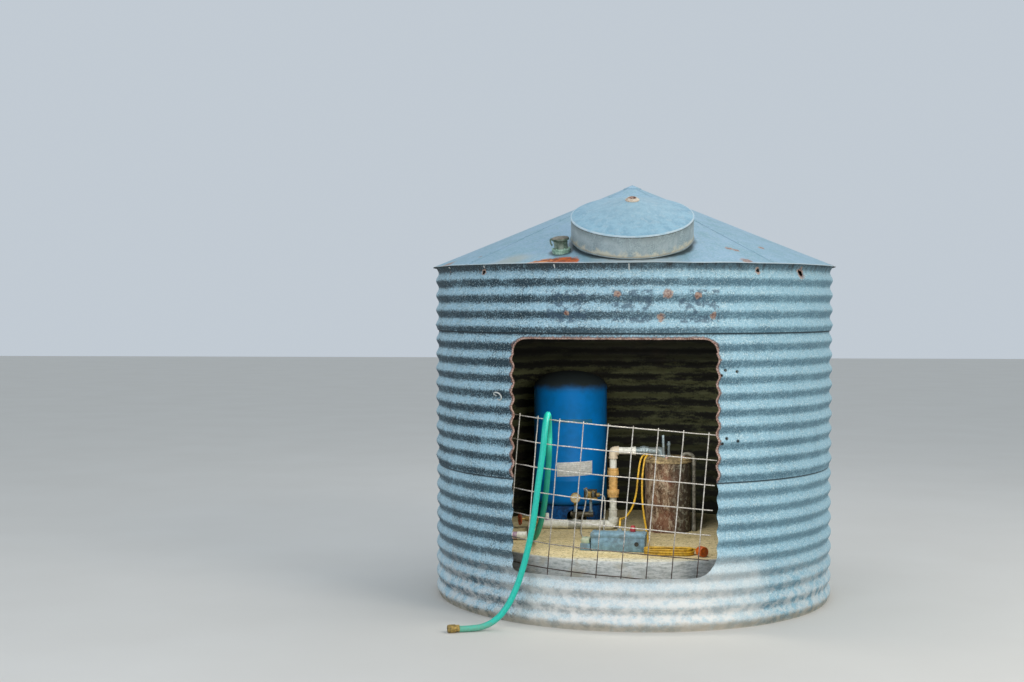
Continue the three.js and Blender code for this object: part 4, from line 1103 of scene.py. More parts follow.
def ring_order(node):
    """How many rings a wall sheet stands above the middle one."""
    return {"top": 1, "header": 0, "middle": 0, "sill": -1, "bottom": -1}[node.split("_")[0]]


def sheet_radius(radius, height, foot=None):
    """Radius of a sheet's middle at a height, standing off at a lapped foot."""
    wall = settings().wall
    made = radius - wall.amplitude * math.cos(math.tau * height / wall.pitch)
    if foot is not None:
        reach = 0.014
        made += wall.lip * max(0.0, 1 - (height - foot) / reach)
    return made


def out_of_round(point):
    """How far the wall stands out at a point, which is the same for every ring."""
    return settings().wall.wobble * noise.noise(Vector((point.x * 2.2, point.y * 2.2, point.z * 2.6)))


def wall_sheet(node, start, end):
    """One corrugated sheet between two angles, as thick as the steel, outside and inside marked."""
    wall = settings().wall
    low, high = (corner.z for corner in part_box(node))
    order = ring_order(node)
    radius = wall.radius + order * wall.ring_step
    low += wall.lap_back if node.startswith("top") else 0.0
    foot = low if order >= 0 and not node.startswith("header") else None
    heights = spread(low, high, round((high - low) / wall.pitch * wall.rows))
    outline = [(sheet_radius(radius, z, foot) + wall.sheet / 2, z) for z in heights]
    outline += [(sheet_radius(radius, z, foot) - wall.sheet / 2, z) for z in reversed(heights)]
    steps = round(math.radians(end - start) / wall.step)
    form = swollen(spun(outline, steps, start, end - start, closed=True), out_of_round)
    return marked(form, lambda centre, normal: normal.dot(Vector((centre.x, centre.y, 0))) < -0.1)


def doorway_outline(inset=0.0):
    """The cut's outline as (x, z) points, rippling with the corrugations at its sides."""
    door, wall = settings().doorway, settings().wall

    def ripple(z):
        swing = door.low_ripple if z < 0.6096 else door.ripple
        return swing * math.cos(math.tau * z / wall.pitch)

    def corner(x, z, radius, first):
        return arc(radius, radius, first, first + 90, 6, (x, z))

    rise = wall.pitch / wall.rows
    top, count = door.top_corner, 24
    left, right, head = door.left + inset, door.right - inset, door.head - inset
    points = corner(right - door.right_corner, door.sill + inset + door.right_corner, door.right_corner, -90)
    z = door.sill + door.right_corner + rise
    while z < door.head - top:
        points.append((right - ripple(z), z))
        z += rise
    points += corner(right - top, head - top, top, 0)
    points += [(right - top - (right - left - 2 * top) * i / count,
                head + 0.0015 * noise.noise(Vector((i * 0.7, 0, 3)))) for i in range(1, count)]
    points += corner(left + top, head - top, top, 90)
    z = door.head - top - rise
    while z > door.sill + door.left_corner:
        points.append((left + ripple(z), z))
        z -= rise
    points += corner(left + door.left_corner, door.sill + inset + door.left_corner, door.left_corner, 180)
    return points


# Where each sheet starts and ends round the axis, in degrees, and where the holes are:
# bolt holes by angle and height, torn holes by angle, height and radius
SIDE_SHEETS = {"front_right": (20, 90), "back_right": (90, 170), "back_left": (170, 250),
               "front_left": (250, 330)}
DOORWAY_SPAN = (-30, 20)
QUARTERS = {"front": (-50, 40), "right": (40, 130), "back": (130, 220), "left": (220, 310)}
BOLT_HOLES = [(24.7, 1.075), (28.1, 1.069), (23.5, 1.054), (25.1, 0.793), (28.4, 0.781), (23.8, 0.772)]
TORN_HOLES = [(51.7, 1.480, 0.015), (34.8, 1.487, 0.009), (-44.0, 1.485, 0.009), (-62.5, 1.486, 0.007)]


class MakeWall(bpy.types.Operator):
    """Roll the corrugated sheets of the three rings, with the cut doorway and the holes"""

    bl_idname = "well_house.wall"
    bl_label = "Wall"

    def execute(self, context):
        sheets = {f"{ring}_sheet_{side}": span for ring in ("bottom", "middle")
                  for side, span in SIDE_SHEETS.items()}
        sheets.update({"sill_sheet": DOORWAY_SPAN, "header_sheet": DOORWAY_SPAN})
        sheets.update({f"top_sheet_{side}": span for side, span in QUARTERS.items()})
        for node, (start, end) in sheets.items():
            form = wall_sheet(node, start, end)
            cutters = []
            if "front" in node and "top" not in node or node in ("sill_sheet", "header_sheet"):
                cutters.append(prism(doorway_outline(), -1.3, -0.5))
            if node == "middle_sheet_front_right":
                cutters += [self.drill(angle, height, 0.004, 10) for angle, height in BOLT_HOLES]
            if node.startswith("top"):
                cutters += [self.tear(angle, height, reach) for angle, height, reach in TORN_HOLES
                            if start < angle < end or start < angle + 360 < end]
            if cutters:
                form = cut_with(form, *cutters)
            name = node.replace("sheet", "zinc")
            Shape().put(form, None).piece(name, ["wall_zinc", "inner_zinc"], "old_zinc", [node])
        return {"FINISHED"}

    def drill(self, angle, height, radius, sides):
        """A round hole's space through the sheet."""
        return bar(around(0.88, angle, height), around(0.95, angle, height), radius, sides)

    def tear(self, angle, height, reach):
        """A ragged hole's space through the sheet."""
        form = self.drill(angle, height, reach, 9)
        for vert in form.verts:
            ragged = outward(vert.co) * 270
            ragged.z = vert.co.z * 90
            vert.co.z += reach * 0.8 * noise.noise(ragged)
        return form


class MakeWallTrim(bpy.types.Operator):
    """Set the rivets, the rusty bead along the cut, the drips and the bent clip"""

    bl_idname = "well_house.wall_trim"
    bl_label = "Wall trim"

    def on_wall(self, angle, height, order, depth=0.0003):
        """Matrix of a small thing on the wall, its +Z outward and its foot a little way in."""
        wall = settings().wall
        point = around(sheet_radius(wall.radius + order * wall.ring_step, height), angle, height)
        start = point + outward(point) * (wall.sheet / 2 - depth + out_of_round(point))
        return along(start, start + outward(point))

    def execute(self, context):
        self.rivets()
        self.bead()
        self.drips()
        place = self.on_wall(-37.9, 0.9555, 0, 0.0)
        bent = metres([(-12, 2, 0), (-13, 6, 10), (-2, 12, 16), (10, 8, 12), (12, -4, 6), (3, -10, 4),
                       (-6, -8, 3)])
        clip = Shape(place @ Matrix.Scale(1.5, 4)).put(wire(bent, 0.0020))
        clip.piece("bent_clip", ["pale_jacket"], "old_zinc")
        return {"FINISHED"}

    def rivets(self):
        """Rivets along the level seams and up the upright ones."""
        wall, door = settings().wall, settings().doorway
        count = round(math.tau * wall.radius / wall.rivet_spacing)
        places = []
        for seam, order in ((18 * wall.pitch, 1), (9 * wall.pitch, 0)):
            for i in range(count):
                angle = (i + 0.5) * 360 / count
                front = angle < 90 or angle > 270
                x = around(wall.radius, angle, 0).x
                if order or not (front and door.left - 0.01 < x < door.right + 0.01):
                    places.append(self.on_wall(angle, seam + wall.pitch / 2, order))
        columns = [(start, f"{ring}_sheet_{side}") for ring in ("bottom", "middle")
                   for side, (start, _end) in SIDE_SHEETS.items() if side != "front_right"]
        columns += [(start % 360, f"top_sheet_{side}") for side, (start, _end) in QUARTERS.items()]
        for angle, node in columns:
            low, high = (corner.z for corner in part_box(node))
            for k in range(math.ceil(low / wall.pitch), math.floor(high / wall.pitch)):
                places.append(self.on_wall(angle + 0.8, (k + 0.5) * wall.pitch, ring_order(node)))
        head = spun([(0.0, wall.rivet * 0.55), (wall.rivet * 0.6, wall.rivet * 0.42), (wall.rivet, 0.0)], 8)
        Shape().put(head, 0, places).piece("wall_rivets", ["wall_zinc"], "old_zinc")

    def bead(self):
        """The rusty bead that the torch left along the middle ring's cut."""
        door, wall = settings().doorway, settings().wall
        points, radii = [], []
        for i, (x, z) in enumerate(doorway_outline(-0.0005)):
            if z > 0.615:
                radius = sheet_radius(wall.radius, z)
                radius += out_of_round(Vector((x, -radius, z)))
                points.append((x, -math.sqrt(radius ** 2 - x ** 2), z))
                radii.append(1.0 + 0.35 * noise.noise(Vector((i * 0.9, 0, 0))))
        bead = Shape().put(wire(points, door.bead, smooth=False, radii=radii, sides=2))
        bead.piece("cut_edge_bead", ["edge_rust"], "old_zinc", sharp=60.0)

    def drips(self):
        """Pale drips that hang on the wall below the eave."""
        wall = settings().wall
        drips = Shape()
        for angle, length in ((-20.5, 0.018), (-0.8, 0.028), (-62.0, 0.008), (-43.5, 0.012)):
            points = [around(wall.radius, angle, z) for z in spread(1.5135, 1.5135 - length, 4)]
            for point in points:
                reach = sheet_radius(wall.radius + wall.ring_step, point.z) + wall.sheet / 2
                point.xy = (outward(point) * (reach + out_of_round(point) + 0.001)).xy
            drips.put(wire(points, 0.004, radii=[1.0, 0.8, 0.7, 0.6, 0.3]))
        drips.piece("eave_drips", ["pale_jacket"], "old_zinc")


def roof_point(radius, angle, lift=0.0):
    """A point on the roof's upper face."""
    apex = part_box("roof_sheet_back")[1].z + 0.006 * math.tan(settings().roof.slope)
    return around(radius, angle, apex - radius * math.tan(settings().roof.slope) + lift)


def roof_wave(point):
    """How far the roof sheet is bent up at a point, more toward the eave."""
    angle = math.atan2(point.x, -point.y)
    ripple = noise.noise(Vector((math.cos(angle) * 5, math.sin(angle) * 5, 0.0)))
    share = max(0.0, (math.hypot(point.x, point.y) - 0.45) / 0.49) ** 2
    return settings().roof.dent * share * (0.5 + 0.5 * ripple)


def on_roof(radius, angle, lean):
    """Matrix of a fitting on the roof, which leans out from the vertical."""
    place = Matrix.Translation(roof_point(radius, math.degrees(angle)))
    return place @ Matrix.Rotation(angle, 4, "Z") @ Matrix.Rotation(lean, 4, "X")


def above_roof(form, place):
    """The part of a form at its place that stands clear of the roof's upper face."""
    form.transform(place)
    reach, foot, clear = 1.2, 0.6, 0.0003
    under = [(0.0, foot), (reach, foot), (reach, roof_point(reach, 0, clear).z),
             (0.0, roof_point(0, 0, clear).z)]
    return cut_with(form, spun(under, 180))


class MakeRoof(bpy.types.Operator):
    """Lay the roof sheets with their laps and rivets, and cap the peak"""

    bl_idname = "well_house.roof"
    bl_label = "Roof"

    def execute(self, context):
        roof = settings().roof
        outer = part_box("roof_sheet_right")[1].x
        drop = roof.sheet / math.cos(roof.slope)
        hatch = on_roof(roof.hatch_radius, 0.0, roof.slope)
        for side, (start, end) in QUARTERS.items():
            upper = [(radius, roof_point(radius, 0).z) for radius in spread(0.006, outer, 28)]
            outline = upper + [(radius, z - drop) for radius, z in reversed(upper)]
            form = spun(outline, 45, start, end - start, closed=True)
            for vert in form.verts:
                vert.co.z += roof_wave(vert.co)
            marked(form, lambda centre, normal: normal.z < -0.3)
            if side == "front":
                form = cut_with(form, bar(hatch @ Vector((0, 0, -0.2)), hatch @ Vector((0, 0, 0.2)),
                                          roof.hole, 64))
            Shape().put(form, None).piece(f"roof_zinc_{side}", ["roof_zinc", "inner_zinc"], "roof_zinc",
                                          [f"roof_sheet_{side}"])
        self.laps(outer)
        cap = metres([(0, 3.4), (12, -1.6), (40, -13.8), (42.5, -15.8), (42.5, -17), (0, 0.6)])
        peak = Shape(Matrix.Translation(roof_point(0.0, 0.0))).put(spun(cap, 48))
        peak.piece("peak_cap_cone", ["roof_zinc"], "roof_zinc", ["roof_peak_cap"])
        return {"FINISHED"}

    def laps(self, outer):
        """Narrow lapped edges where the roof sheets meet, with their rivets."""
        shape = Shape()
        rows, width = 14, 0.024
        for start, _end in QUARTERS.values():
            lap = bmesh.new()
            for side in (0, 1):
                raised = side if 0 < start < 90 else 1 - side
                for radius in spread(0.05, outer - 0.002, rows):
                    angle = start + math.degrees((side - 0.5) * width / radius)
                    point = roof_point(radius, angle, 0.0003 + 0.0008 * raised)
                    point.z += roof_wave(point)
                    lap.verts.new(point)
            lap.verts.ensure_lookup_table()
            for i in range(rows):
                lap.faces.new([lap.verts[k] for k in (i, i + 1, rows + 2 + i, rows + 1 + i)])
            bmesh.ops.recalc_face_normals(lap, faces=lap.faces)
            bmesh.ops.solidify(lap, geom=lap.faces, thickness=-0.0006)
            bmesh.ops.recalc_face_normals(lap, faces=lap.faces)
            shape.put(lap)
            for radius in spread(0.14, 0.90, 8):
                point = roof_point(radius, start, 0.0012)
                point.z += roof_wave(point)
                shape.put(ball(point, 0.004, (1, 1, 0.5), 8))
        shape.piece("roof_laps", ["roof_zinc"], "roof_zinc")


class MakeManhole(bpy.types.Operator):
    """Make the collar, the lift-off lid and the ring round the lid's opening"""

    bl_idname = "well_house.manhole"
    bl_label = "Manhole"

    def crown(self, radius):
        """Height of the lid's cone above the slope."""
        roof = settings().roof
        return roof.skirt_top + roof.crown * (1 - radius / roof.lid)

    def execute(self, context):
        roof = settings().roof
        place = on_roof(roof.hatch_radius, 0.0, roof.slope)
        self.lid(place)
        self.ring(place)
        inner, outer = roof.collar - roof.collar_sheet, roof.collar
        rim, buried = self.crown(outer) - 0.0019, -0.06
        tube = spun([(inner, buried), (outer, buried), (outer, rim), (inner, rim)], 96, closed=True)
        collar = Shape().put(above_roof(tube, place))
        collar.piece("collar_tube", ["lid_skirt"], "roof_zinc", ["manhole_collar"])
        return {"FINISHED"}

    def lid(self, place):
        """The lid: a cone with a rolled edge, and a skirt with a beaded foot and a seam."""
        roof = settings().roof
        sheet, radius, foot, top = roof.lid_sheet, roof.lid, roof.skirt_foot, roof.skirt_top
        rows = spread(roof.lid_hole, radius - 0.004, 10)
        cone = [(r, self.crown(r)) for r in rows]
        cone += [(radius + 0.0008, top - 0.001), (radius + 0.0012, top - 0.005),
                 (radius - sheet, top - 0.0045)]
        cone += [(r, self.crown(r) - sheet) for r in reversed(rows)]
        upper = self.dented(spun(cone, 96, closed=True))
        attribute_on(upper, "wear", lambda p: 1 - math.hypot(p.x, p.y) / 0.06)
        attribute_on(upper, "rim", lambda p: 1 - (radius - math.hypot(p.x, p.y)) / 0.012)
        shape = Shape(place).put(upper)
        rows = spread(foot, top - 0.0055, 8)
        skirt = [(radius, z) for z in rows] + [(radius - sheet, z) for z in reversed(rows)]
        lower = self.dented(spun(skirt, 96, closed=True))
        attribute_on(lower, "wear", lambda p: 1 - (p.z - foot) / 0.045)
        attribute_on(lower, "rim", lambda p: 1.3 - (top - p.z) / 0.016)
        shape.put(lower, 1)
        shape.put(spun(arc(0.0022, 0.0022, 0, 315, 7, (radius, foot + 0.0024)), 96, closed=True), 1)
        seam = brick((-0.011, -radius - 0.0014, foot), (0.011, -radius + 0.0006, top - 0.006), 0.0004)
        shape.put(seam, 1, [turn(150, "Z")])
        shape.piece("lid_cone", ["lid_zinc", "lid_skirt"], "lid_zinc", ["manhole_lid"], "lid")

    def ring(self, place):
        """The ring round the opening in the lid's middle, rusty inside."""
        hole = settings().roof.lid_hole
        edge, outer = self.crown(hole), self.crown(hole + 0.013)
        profile = [(hole - 0.001, edge - 0.012), (hole - 0.0002, edge + 0.0004),
                   (hole + 0.013, outer + 0.0004), (hole + 0.013, outer + 0.0030),
                   (hole + 0.006, self.crown(hole + 0.006) + 0.0045), (hole + 0.0035, edge + 0.0065),
                   (hole, edge + 0.0070), (hole - 0.0024, edge - 0.012)]
        rim = marked(spun(profile, 40, closed=True),
                     lambda centre, normal: math.hypot(centre.x, centre.y) < hole - 0.0004)
        Shape(place).put(rim, None).piece(
            "lid_ring_rim", ["ring_rust", "edge_rust"], "rusty_steel", ["lid_ring"], "lid")

    def dented(self, form):
        """The form with slight dents."""
        for vert in form.verts:
            up, out = 0.0012 * noise.noise(vert.co * 9.0), 0.0009 * noise.noise(vert.co * 6.0)
            vert.co += Vector((0, 0, up)) + outward(vert.co) * out
        return form


class MakeFiller(bpy.types.Operator):
    """Make the filler neck and its cap with the lug"""

    bl_idname = "well_house.filler"
    bl_label = "Filler"

    def execute(self, context):
        roof = settings().roof
        place = on_roof(roof.filler_radius, roof.filler_angle, roof.filler_lean)
        back = place.inverted()
        neck = metres([(0, -30), (38.5, -30), (38.5, 8.5), (40, 9.5), (40, 13.5), (38.5, 15), (32.5, 15.5),
                       (30, 18), (28.5, 21), (28.5, 36), (30, 38), (30, 42), (28.5, 44), (28.5, 48),
                       (0, 48)])
        flange_top = 0.0154
        cast = marked(above_roof(spun(neck, 48), place),
                      lambda centre, normal: (back @ centre).z < flange_top)
        bolt = bar((0.0352, 0, 0.014), (0.0352, 0, 0.0185), 0.0036, 6, 0.0005)
        shape = Shape(place).put(cast, None, [back]).put(bolt, 1, fan(6, 20))
        shape.piece("filler_neck_cast", ["filler_metal", "pale_green_metal"], "grey_metal", ["filler_neck"])
        side = metres([(0, 48.3), (33, 48.3), (34.5, 50), (36, 51.5), (36, 57.5), (0, 57.5)])
        top = metres([(0, 57.6), (36.2, 57.6), (36.2, 59.6), (34.5, 61), (30, 63), (12, 65), (8, 65.5),
                      (0, 65.5)])
        cap = Shape(place).put(spun(side, 40), 1).put(spun(top, 40))
        rib = brick((-0.002, -0.0368, 0.0515), (0.002, -0.0352, 0.0575), 0.0005)
        cap.put(rib, 1, fan(18))
        lug = metres([(-34, 0, 54), (-42, 0, 55), (-46.5, 1, 50), (-47, 2, 40), (-44, 1, 32), (-40, 0, 28)])
        cap.put(wire(lug, 0.0036, sides=2), 1)
        cap.put(brick((-0.047, -0.006, 0.049), (-0.034, 0.006, 0.056), 0.002), 1)
        cap.piece("filler_cap_lugged", ["dusty_cap", "filler_metal"], "grey_metal", ["filler_cap"])
        return {"FINISHED"}


class MakeSlab(bpy.types.Operator):
    """Cast the rough slab round the well"""

    bl_idname = "well_house.slab"
    bl_label = "Slab"

    def execute(self, context):
        _place, radius, _foot, top = upright("well_slab")
        outline = [(r, top) for r in spread(0.0, radius, 16)[:-1]]
        outline += [(radius - 0.010, top), (radius - 0.003, top - 0.003)]
        outline += [(radius, z) for z in spread(top - 0.010, 0.0, 8)] + [(0.0, 0.0)]
        form = spun(outline, 120)
        for vert in form.verts:
            rough = (1 + noise.noise(vert.co * 16.0) + 0.5 * noise.noise(vert.co * 45.0)) / 2
            if vert.co.z > top - 0.001:
                vert.co.z -= 0.0012 * rough
            elif vert.co.z > 0.001:
                vert.co -= outward(vert.co) * 0.0035 * rough
        Shape().put(form).piece("slab_concrete", ["concrete"], "concrete", ["well_slab"], sharp=60.0)
        return {"FINISHED"}


class MakeTank(bpy.types.Operator):
    """Make the pressure tank with its seams, label and valve, and the skirt it stands on"""

    bl_idname = "well_house.tank"
    bl_label = "Pressure tank"

    def execute(self, context):
        place, reach, foot, top = upright("pressure_tank")
        radius, shoulder, dome = reach - 0.002, 0.930, top - 0.004
        outline = [(0.0, foot), (radius - 0.030, foot), (radius - 0.012, foot + 0.004),
                   (radius - 0.003, foot + 0.012), (radius, foot + 0.024), (radius, foot + 0.120),
                   (radius + 0.0012, foot + 0.123),
                   (radius + 0.0012, foot + 0.129), (radius, foot + 0.132), (radius, shoulder - 0.012),
                   (radius + 0.0016, shoulder - 0.009), (radius + 0.0018, shoulder - 0.002),
                   (radius - 0.0004, shoulder + 0.002)]
        outline += arc(radius, dome - shoulder - 0.002, 7.5, 82.5, 10, (0.0, shoulder + 0.002))
        outline.append((0.0, dome))
        shape = Shape(place).put(spun(outline, 72))
        valve = [(0.0, dome - 0.004), (0.014, dome - 0.004), (0.014, dome + 0.001), (0.010, top), (0.0, top)]
        shape.put(spun(valve, 20), 1)
        shape.put(self.band(radius + 0.0002, 0.497, 0.0007, 0.070, 24, -19.0, 57.0, 0.001, 0.05), 2)
        lines = self.band(radius + 0.0004, 0.0, 0.0008, 0.0012, 18, -16.0, 50.0, 0.0, 0.05)
        shape.put(lines, 3, [move(0, 0, 0.506 + 0.0105 * i) for i in range(6)])
        shape.put(self.band(radius + 0.0002, 0.760, 0.0005, 0.019, 24, -24.0, 62.0), 4)
        finishes = ["blue_paint", "black_plastic", "silver_label", "pale_jacket", "worn_print"]
        shape.piece("tank_shell", finishes, "blue_paint", ["pressure_tank"])
        self.stand()
        return {"FINISHED"}

    def band(self, radius, foot, depth, height, steps, start, span, edge=0.0, tilt=0.0):
        """A thin strip round part of the tank, with thin edges, rising to the right."""
        outline = [(radius, foot), (radius + depth, foot + edge), (radius + depth, foot + height - edge),
                   (radius, foot + height)]
        form = spun(outline, steps, start, span, closed=True)
        for vert in form.verts:
            vert.co.z += tilt * (vert.co.x - 0.02)
        return form

    def stand(self):
        """The skirt, with an arched hole for the inlet."""
        place, radius, foot, top = upright("tank_stand")
        sheet, half, shoulder, rise, side = 0.003, 0.048, 0.0279, 0.0341, 0.038
        outline = [(radius, foot), (radius + 0.004, foot), (radius + 0.004, foot + 0.003),
                   (radius, foot + 0.004), (radius, top), (radius - sheet, top), (radius - sheet, foot)]
        arch = [(side - half, foot - 0.02), (side + half, foot - 0.02)]
        arch += arc(half, rise, 0, 180, 12, (side, foot + shoulder))
        form = cut_with(spun(outline, 64, closed=True), prism(arch, -0.3, -0.05))
        Shape(place).put(form).piece("tank_skirt", ["dark_paint"], "dark_paint", ["tank_stand"])


class MakeWellHead(bpy.types.Operator):
    """Make the casing, the well seal with its bolts, and the pipes that stand on it"""

    bl_idname = "well_house.well_head"
    bl_label = "Well head"

    def execute(self, context):
        place, radius, foot, top = upright("well_casing")
        rows = spread(foot, top, 40)

        def scale(point):
            rough = noise.noise(point * 22.0) + 0.6 * noise.noise(point * 60.0)
            return 0.0016 * (rough - 0.6) if point.xy.length > radius - 0.002 else 0.0

        outline = [(radius, z) for z in rows] + [(radius - 0.008, z) for z in reversed(rows)]
        casing = Shape(place).put(swollen(spun(outline, 96, closed=True), scale))
        casing.piece("casing_pipe", ["rusty_steel"], "rusty_steel", ["well_casing"], sharp=60.0)
        self.seal(place)
        self.discharge()
        self.thin_pipes()
        self.conduit()
        return {"FINISHED"}

    def seal(self, place):
        """The split well seal: two plates, a rubber between them, and bolts."""
        _axis, radius, foot, top = upright("well_seal")
        outline = [(0.0, foot), (radius - 0.002, foot), (radius, foot + 0.002), (radius, foot + 0.009),
                   (radius - 0.002, foot + 0.011), (radius - 0.002, foot + 0.013), (radius, foot + 0.015),
                   (radius, top - 0.005), (radius - 0.003, top - 0.0015), (radius - 0.007, top), (0.0, top)]
        bolt = bar((0.088, 0, top - 0.001), (0.088, 0, top + 0.008), 0.0085, 6, 0.0008)
        shape = Shape(place).put(spun(outline, 64)).put(bolt, 1, fan(6, 25))
        shape.piece("well_seal_plates", ["dusty_seal", "edge_rust"], "tan_plastic", ["well_seal"])

    def discharge(self):
        """The galvanised drop pipe, its elbow, and the union on the line."""
        pipes = settings().pipes
        y, drop, line = pipes.row, pipes.drop, pipes.line
        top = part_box("well_seal")[1].z + 0.0003
        elbow = [(drop, y, line - 0.022), (drop, y, line - 0.012), (drop - 0.004, y, line - 0.003),
                 (drop - 0.013, y, line), (drop - 0.024, y, line)]
        shape = Shape().put(wire(elbow, 0.0198, sides=4))
        shape.rods(0, lambda z: (drop, y, z), (top, line - 0.018, pipes.small, 28, 0),
                   (top + 0.002, top + 0.010, 0.0190, 8, 0.001),
                   (line - 0.016, line - 0.024, 0.0222, 28, 0.0012))
        shape.rods(0, lambda x: (x, y, line), (drop - 0.02, 0.020, pipes.small, 28, 0),
                   (drop - 0.018, drop - 0.028, 0.0222, 28, 0.0012), (0.080, 0.066, 0.0215, 8, 0.001),
                   (0.066, 0.050, 0.0240, 8, 0.001), (0.050, 0.040, 0.0210, 8, 0.001))
        thread = spun(metres([(16, 0), (17.4, 0.8), (16, 1.6)]), 24)
        shape.put(thread, 0, [along((0.0395 - 0.0018 * i, y, line), (0.0, y, line)) for i in range(9)])
        shape.piece("nipple_union", ["grey_metal"], "grey_metal", ["discharge_nipple"])

    def thin_pipes(self):
        """The vent, which has a tip, and the sensor's pipe, each in a collar."""
        for node, name, tip in (("vent_pipe", "vent_riser", True), ("sensor_pipe", "sensor_riser", False)):
            low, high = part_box(node)
            radius = 0.007
            foot = Vector((high.x - radius, low.y + radius, low.z))
            head = Vector((low.x + radius, low.y + radius, high.z))
            pipe = Shape().rods(0, lambda share: foot.lerp(head, share), (0, 1, radius - 0.0005, 20, 0.0008),
                                (0, 0.14, radius + 0.0035, 6, 0.0006))
            if tip:
                ring = foot.lerp(head, 0.72)
                pipe.put(bar(ring, ring + Vector((0, 0, 0.012)), radius + 0.0025, soft=0.0008))
            pipe.piece(name, ["grey_metal"], "grey_metal", [node])

    def conduit(self):
        """The cable conduit: up from the slab, over, and down into the seal."""
        low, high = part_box("cable_conduit")
        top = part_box("well_seal")[1].z + 0.0003
        x, y, bend, end, radius = high.x - 0.011, 0.060, high.z - 0.011, 0.242, 0.009
        route = [(x, y, low.z), (x, y, bend - 0.030), (x - 0.008, y, bend - 0.008), (x - 0.026, y, bend),
                 (end + 0.020, y, bend), (end + 0.0035, y, bend - 0.004), (end, y, bend - 0.012)]
        shape = Shape().put(wire(route[:2], radius, smooth=False, sides=4))
        shape.put(wire(route[1:], radius, sides=4, resolution=5))
        shape.rods(0, lambda z: (end, y, z), (bend - 0.006, top, 0.012, 8, 0.001))
        shape.rods(0, lambda z: (x, y, z), (bend - 0.060, bend - 0.030, 0.0108, 24, 0.001),
                   (low.z, low.z + 0.030, 0.0108, 24, 0.001))
        shape.piece("conduit_bend", ["dull_pipe"], "grey_metal", ["cable_conduit"])


def slab_axis():
    """Height of the axis of the pipe along the slab."""
    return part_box("slab_pipe")[0].z + settings().pipes.fitting


